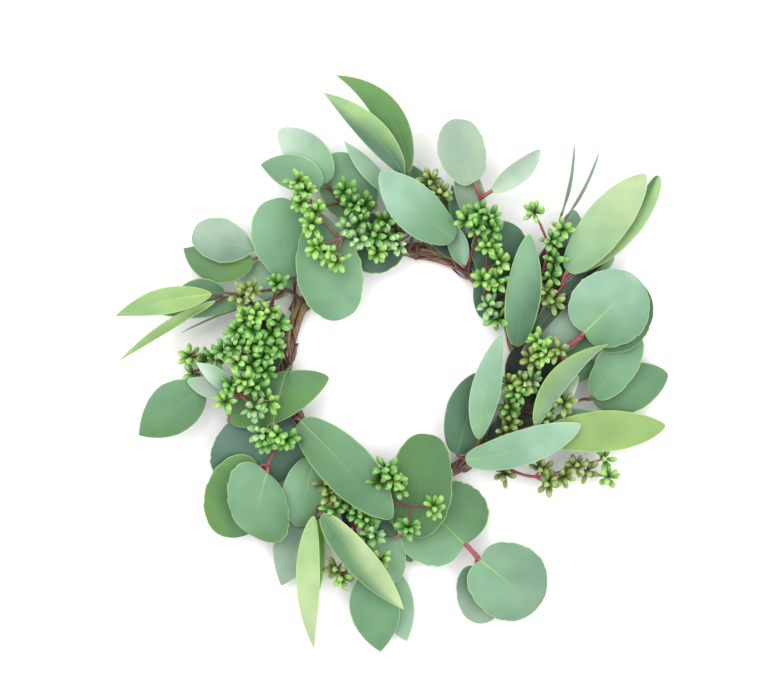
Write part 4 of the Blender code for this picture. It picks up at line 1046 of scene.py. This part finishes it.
# %% Bud sprays
SEEDS = [
    Seeds("seeds_top_left", "copper", (85, 95, 1), [
        (6, 80, 18), (-8, 82, 22), (-20, 83, 26), (-36, 77, 29), (-46, 86, 31), (-53, 97, 31)], [
        (5, -62, 110, 33, "bright"), (5, -60, 98, 34, "bright"), (4, -53, 84, 35, "bright"),
        (3, -50, 71, 34, "bright"), (3, -39, 63, 33, "bright"), (2, -26, 76, 32, "frost"),
        (2, -34, 104, 30, "pea"), (2, -22, 96, 28, "dark"), (1, -15, 68, 26, "bright"),
        (1, -10, 86, 28, "dark"), (0, -3, 73, 24, "frost"), (4, -51, 92, 33, "bright"),
        (2, -31, 83, 31, "frost"), (2, -25, 86, 30, "pea"), (1, -17, 78, 29, "pea"),
        (0, -3, 80, 22, "dark", 0.7), (3, -44, 68, 32, "bright"), (1, -8, 77, 27, "frost"),
        (2, -29, 97, 28, "pea"), (5, -57, 104, 33, "bright"),
    ]),
    Seeds("seeds_top_small", "wine", (66, 25, 1), [(23, 78, 16), (22, 93, 20)], [
        (1, 17, 111, 21.5, "olive"), (1, 24, 103, 22, "olive"), (1, 14, 104, 20, "olive"),
    ]),
    Seeds("seeds_top_right", "wine", (52, 75, 1), [(41, 64, 20), (44, 76, 26)], [
        (1, 38, 87, 30, "bright"), (1, 52, 89, 30, "pea"), (1, 45, 82, 31, "pea"),
        (1, 46, 92, 29, "pea"), (1, 54, 82, 29, "pea"),
    ]),
    Seeds("seeds_upper_right_ring", "wine", (24, 96, 1), [
        (57, 29, 16), (50, 42, 21), (50, 58, 25)], [
        (2, 51, 71, 28, "bright"), (2, 58, 62, 29, "bright"), (1, 49, 51, 29, "bright"),
        (0, 52, 36, 22, "frost"), (1, 56, 50, 28, "pea"), (0, 57, 28, 22, "pea", 0.7),
    ]),
    Seeds("seeds_upper_right", "rose", (29.5, 352, 1), [
        (74, 45, 13), (84, 56, 19), (87, 72, 23), (83, 84, 25)], [
        (3, 79, 91.5, 27, "bright", 0.9), (2, 95, 82, 28.5, "bright", 0.8),
        (2, 89, 75, 30, "pea"), (1, 91, 63, 26, "pea", 0.8), (0, 86, 44, 21.5, "olive"),
        (1, 89, 54, 24, "pea", 0.7), (0, 90, 39, 23, "olive"),
    ]),
    Seeds("seeds_right", "wine", (359, 110, 1), [(75, 5, 16), (81, 13, 20)], [
        (1, 82, 15, 27, "bright"), (0, 78, 4, 25, "olive"), (1, 93, 9, 27, "olive"),
        (1, 85, 8, 27, "bright"),
    ]),
    Seeds("seeds_right_ring", "wine", (346.5, 80, -1), [(67, -18, 17)], [
        (0, 65, -11, 21, "olive"), (0, 64, -25, 22, "dark"), (0, 77, -9, 21, "frost"),
        (0, 69, -16, 23, "pea"), (0, 73, -9, 23, "olive"),
    ]),
    Seeds("seeds_right_ring_lower", "wine", (329, 115, -1), [(58, -40, 14)], [
        (0, 62, -40, 17, "olive"), (0, 65, -33, 17, "olive"),
    ]),
    Seeds("seeds_right_outer", "wine", (341, 50, -1), [(80, -28, 19), (90, -25, 21)], [
        (1, 97, -22, 22, "olive"), (0, 85, -32, 18.5, "olive"), (0, 89, -25, 21, "dark", 0.8),
    ]),
    Seeds("seeds_lower_right", "rose", (316, 30, -1), [
        (60, -60, 8), (80, -67, 10), (102, -62, 12)], [
        (0, 62, -65, 11, "olive", 0.8), (1, 88, -71, 13, "olive"), (2, 105, -60, 15, "olive"),
        (2, 122, -56, 14, "bright", 0.7), (2, 124, -67, 13, "bright", 0.8),
        (1, 97, -66, 13, "olive"), (1, 84, -63, 13, "olive"), (2, 112, -63, 13, "olive", 0.7),
    ]),
    Seeds("seeds_bottom", "wine", (258, 70, 1), [(-14, -76, 20), (-7, -81, 25), (5, -84, 26)], [
        (0, -10, -61, 34, "pea"), (1, -3, -72, 30, "pea"), (2, 19, -84, 30.5, "bright"),
        (2, 4, -96, 29, "pea", 1.2), (0, -6, -66, 33, "bright"), (1, -13, -69, 30, "dark"),
    ]),
    Seeds("seeds_left_lower", "stalk_green", (179, 115, 1), [
        (-68, -1, 17), (-71, -8, 24), (-77, -33, 26)], [
        (2, -80, -45, 27, "pea"), (2, -69, -44, 26, "pea"), (2, -75, -41, 29, "bright"),
        (2, -84, -40, 26, "frost"),
    ]),
    Seeds("seeds_lower_left_inner", "rose", (230, 80, 1), [(-47, -66, 14)], [
        (0, -43, -77, 18, "olive"), (0, -46, -71, 17, "olive", 0.8), (0, -41, -86, 19, "pea"),
    ]),
    Seeds("seeds_lower", "rose", (248, 30, 1), [
        (-26, -80, 14), (-23, -94, 15), (-24, -106, 14)], [
        (0, -27, -88, 19, "pea"), (1, -17, -101, 19, "frost"), (2, -13, -116, 18, "bright", 0.7),
        (2, -39, -122, 13, "olive", 0.8), (0, -22, -92, 20, "pea"), (1, -22, -104, 18, "pea"),
        (2, -36, -128, 12, "bright", 0.6), (0, -31, -81, 19, "dark"),
    ]),
    Seeds("seeds_left_outer", "wine", (161, 45, -1), [(-78, 36, 17), (-90, 37, 22)], [
        (1, -96, 41, 28, "olive"), (0, -75, 49, 25, "pea"), (1, -91, 45, 26, "olive"),
    ]),
    Seeds("seeds_left_upper", "wine", (169, 75, -1), [(-76, 21, 16), (-84, 24, 20)], [
        (1, -88, 31, 26, "bright"), (0, -74, 26, 25, "pea"), (1, -98, 21, 28, "pea"),
        (0, -80, 32, 25, "bright"), (0, -78, 19, 25, "pea"), (1, -89, 22, 27, "pea"),
        (1, -94, 28, 26, "bright"),
    ]),
    Seeds("seeds_left_middle", "rose", (181, 5, -1), [
        (-80, 10, 14), (-94, 12, 18), (-108, 8, 18)], [
        (0, -76, 11, 23, "pea"), (1, -90, 14, 27, "bright"), (2, -107, 9, 28, "pea"),
        (1, -98, 3, 30, "bright"), (2, -128, 6, 11, "bright"), (2, -126, -5, 9.3, "bright", 0.8),
        (0, -83, 6, 25, "pea"), (1, -99, 12, 28, "pea"), (2, -112, 5, 19, "pea", 0.8),
        (0, -84, 14, 26, "pea"), (2, -118, 2, 14, "dark"),
    ]),
    Seeds("seeds_left", "rose", (188, 30, -1), [(-80, -1, 15), (-92, -6, 20), (-98, -16, 24)], [
        (0, -82, -3, 25, "pea"), (1, -94, -8, 31, "bright"), (2, -105, -21, 30, "bright"),
        (2, -88, -25.5, 28, "frost", 1.2), (1, -90, 0, 28, "pea"), (1, -88, -12, 27, "pea"),
        (2, -102, -12, 28, "pea"), (2, -80, -21, 27, "bright", 0.7),
    ]),
]

bud_total = 0
for spray in SEEDS:
    shells = [stem(spray.root, spray.stem, spray.hue)]
    for joint, x, y, z, tone, *size in spray.clusters:
        joint, middle = np.array(spray.stem[joint], float), np.array([x, y, z], float)
        made = buds(middle, unit(joint - middle), tone, size[0] if size else 1.0)
        bud_total += len(made)
        shells += made + [branch(joint, middle, spray.hue)]
    piece = join_shells(f"{spray.name}_moulded", shells, [BUD, STEM])
    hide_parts(spray.name)
print("bud sprays:", len(SEEDS), "with", bud_total, "buds")

# %% [markdown]
# ## Table, light and camera
#
# The wreath lies on a plain white table that fills the picture. The light is a bright white
# surround with large soft lamps, so that shadows are faint and wide. The camera looks straight
# down from far enough to flatten the view, with the ring a little below the middle of the
# picture.

# %% Table and lamps
TABLE_HALF = 3.0
LAMP_SIZE = 1.2
SURROUND_STRENGTH = 1.24


def table():
    """A large white square at the level of the wreath's underside, with a faint paper grain."""
    corners = TABLE_HALF * np.array([(-1, -1, 0), (1, -1, 0), (1, 1, 0), (-1, 1, 0)])
    mesh = bpy.data.meshes.new("table")
    mesh.from_pydata(corners, [], [(0, 1, 2, 3)])
    white = Finish("table_white", 0.75)
    grain = white.mix(white.noise(30.0), (0.90, 0.89, 0.89), (0.93, 0.92, 0.92))
    white.fill(white.shader["Base Color"], grain)
    mesh.materials.append(white.material)
    in_scene("table", mesh)


def lamp(name, place, power):
    """A square soft lamp that faces the wreath."""
    data = bpy.data.lights.new(name, "AREA")
    data.shape, data.size, data.energy = "SQUARE", LAMP_SIZE, power
    made = in_scene(name, data)
    made.location = place
    down = unit(-np.array(place, float))
    pitch, turn = math.acos(-down[2]), math.atan2(-down[0], down[1])
    made.rotation_euler = (pitch, 0.0, turn)


table()
lamp("lamp_upper_left", (-0.7, 0.7, 1.3), 17.0)
lamp("lamp_right", (1.0, -0.2, 1.2), 11.0)
world = bpy.data.worlds.new("white_surround")
bpy.context.scene.world = world
world.use_nodes = True
surround = world.node_tree.nodes["Background"].inputs
surround["Color"].default_value = (1.0, 1.0, 1.0, 1.0)
surround["Strength"].default_value = SURROUND_STRENGTH
bpy.context.scene.view_settings.view_transform = "Standard"

# %% Camera
PICTURE_WIDTH = 770
MM_PER_PIXEL = 0.6
SENSOR_WIDTH = 36.0
CAMERA_HEIGHT = 1.5
LEAF_HEIGHT = 0.02
VIEW_CENTRE = (-0.0046, 0.0162)
camera = bpy.data.cameras.new("camera")
camera.sensor_width = SENSOR_WIDTH
camera.lens = SENSOR_WIDTH * (CAMERA_HEIGHT - LEAF_HEIGHT) / (PICTURE_WIDTH * MM_PER_PIXEL * MM)
viewer = in_scene("camera", camera)
viewer.location = (*VIEW_CENTRE, CAMERA_HEIGHT)
bpy.context.scene.camera = viewer
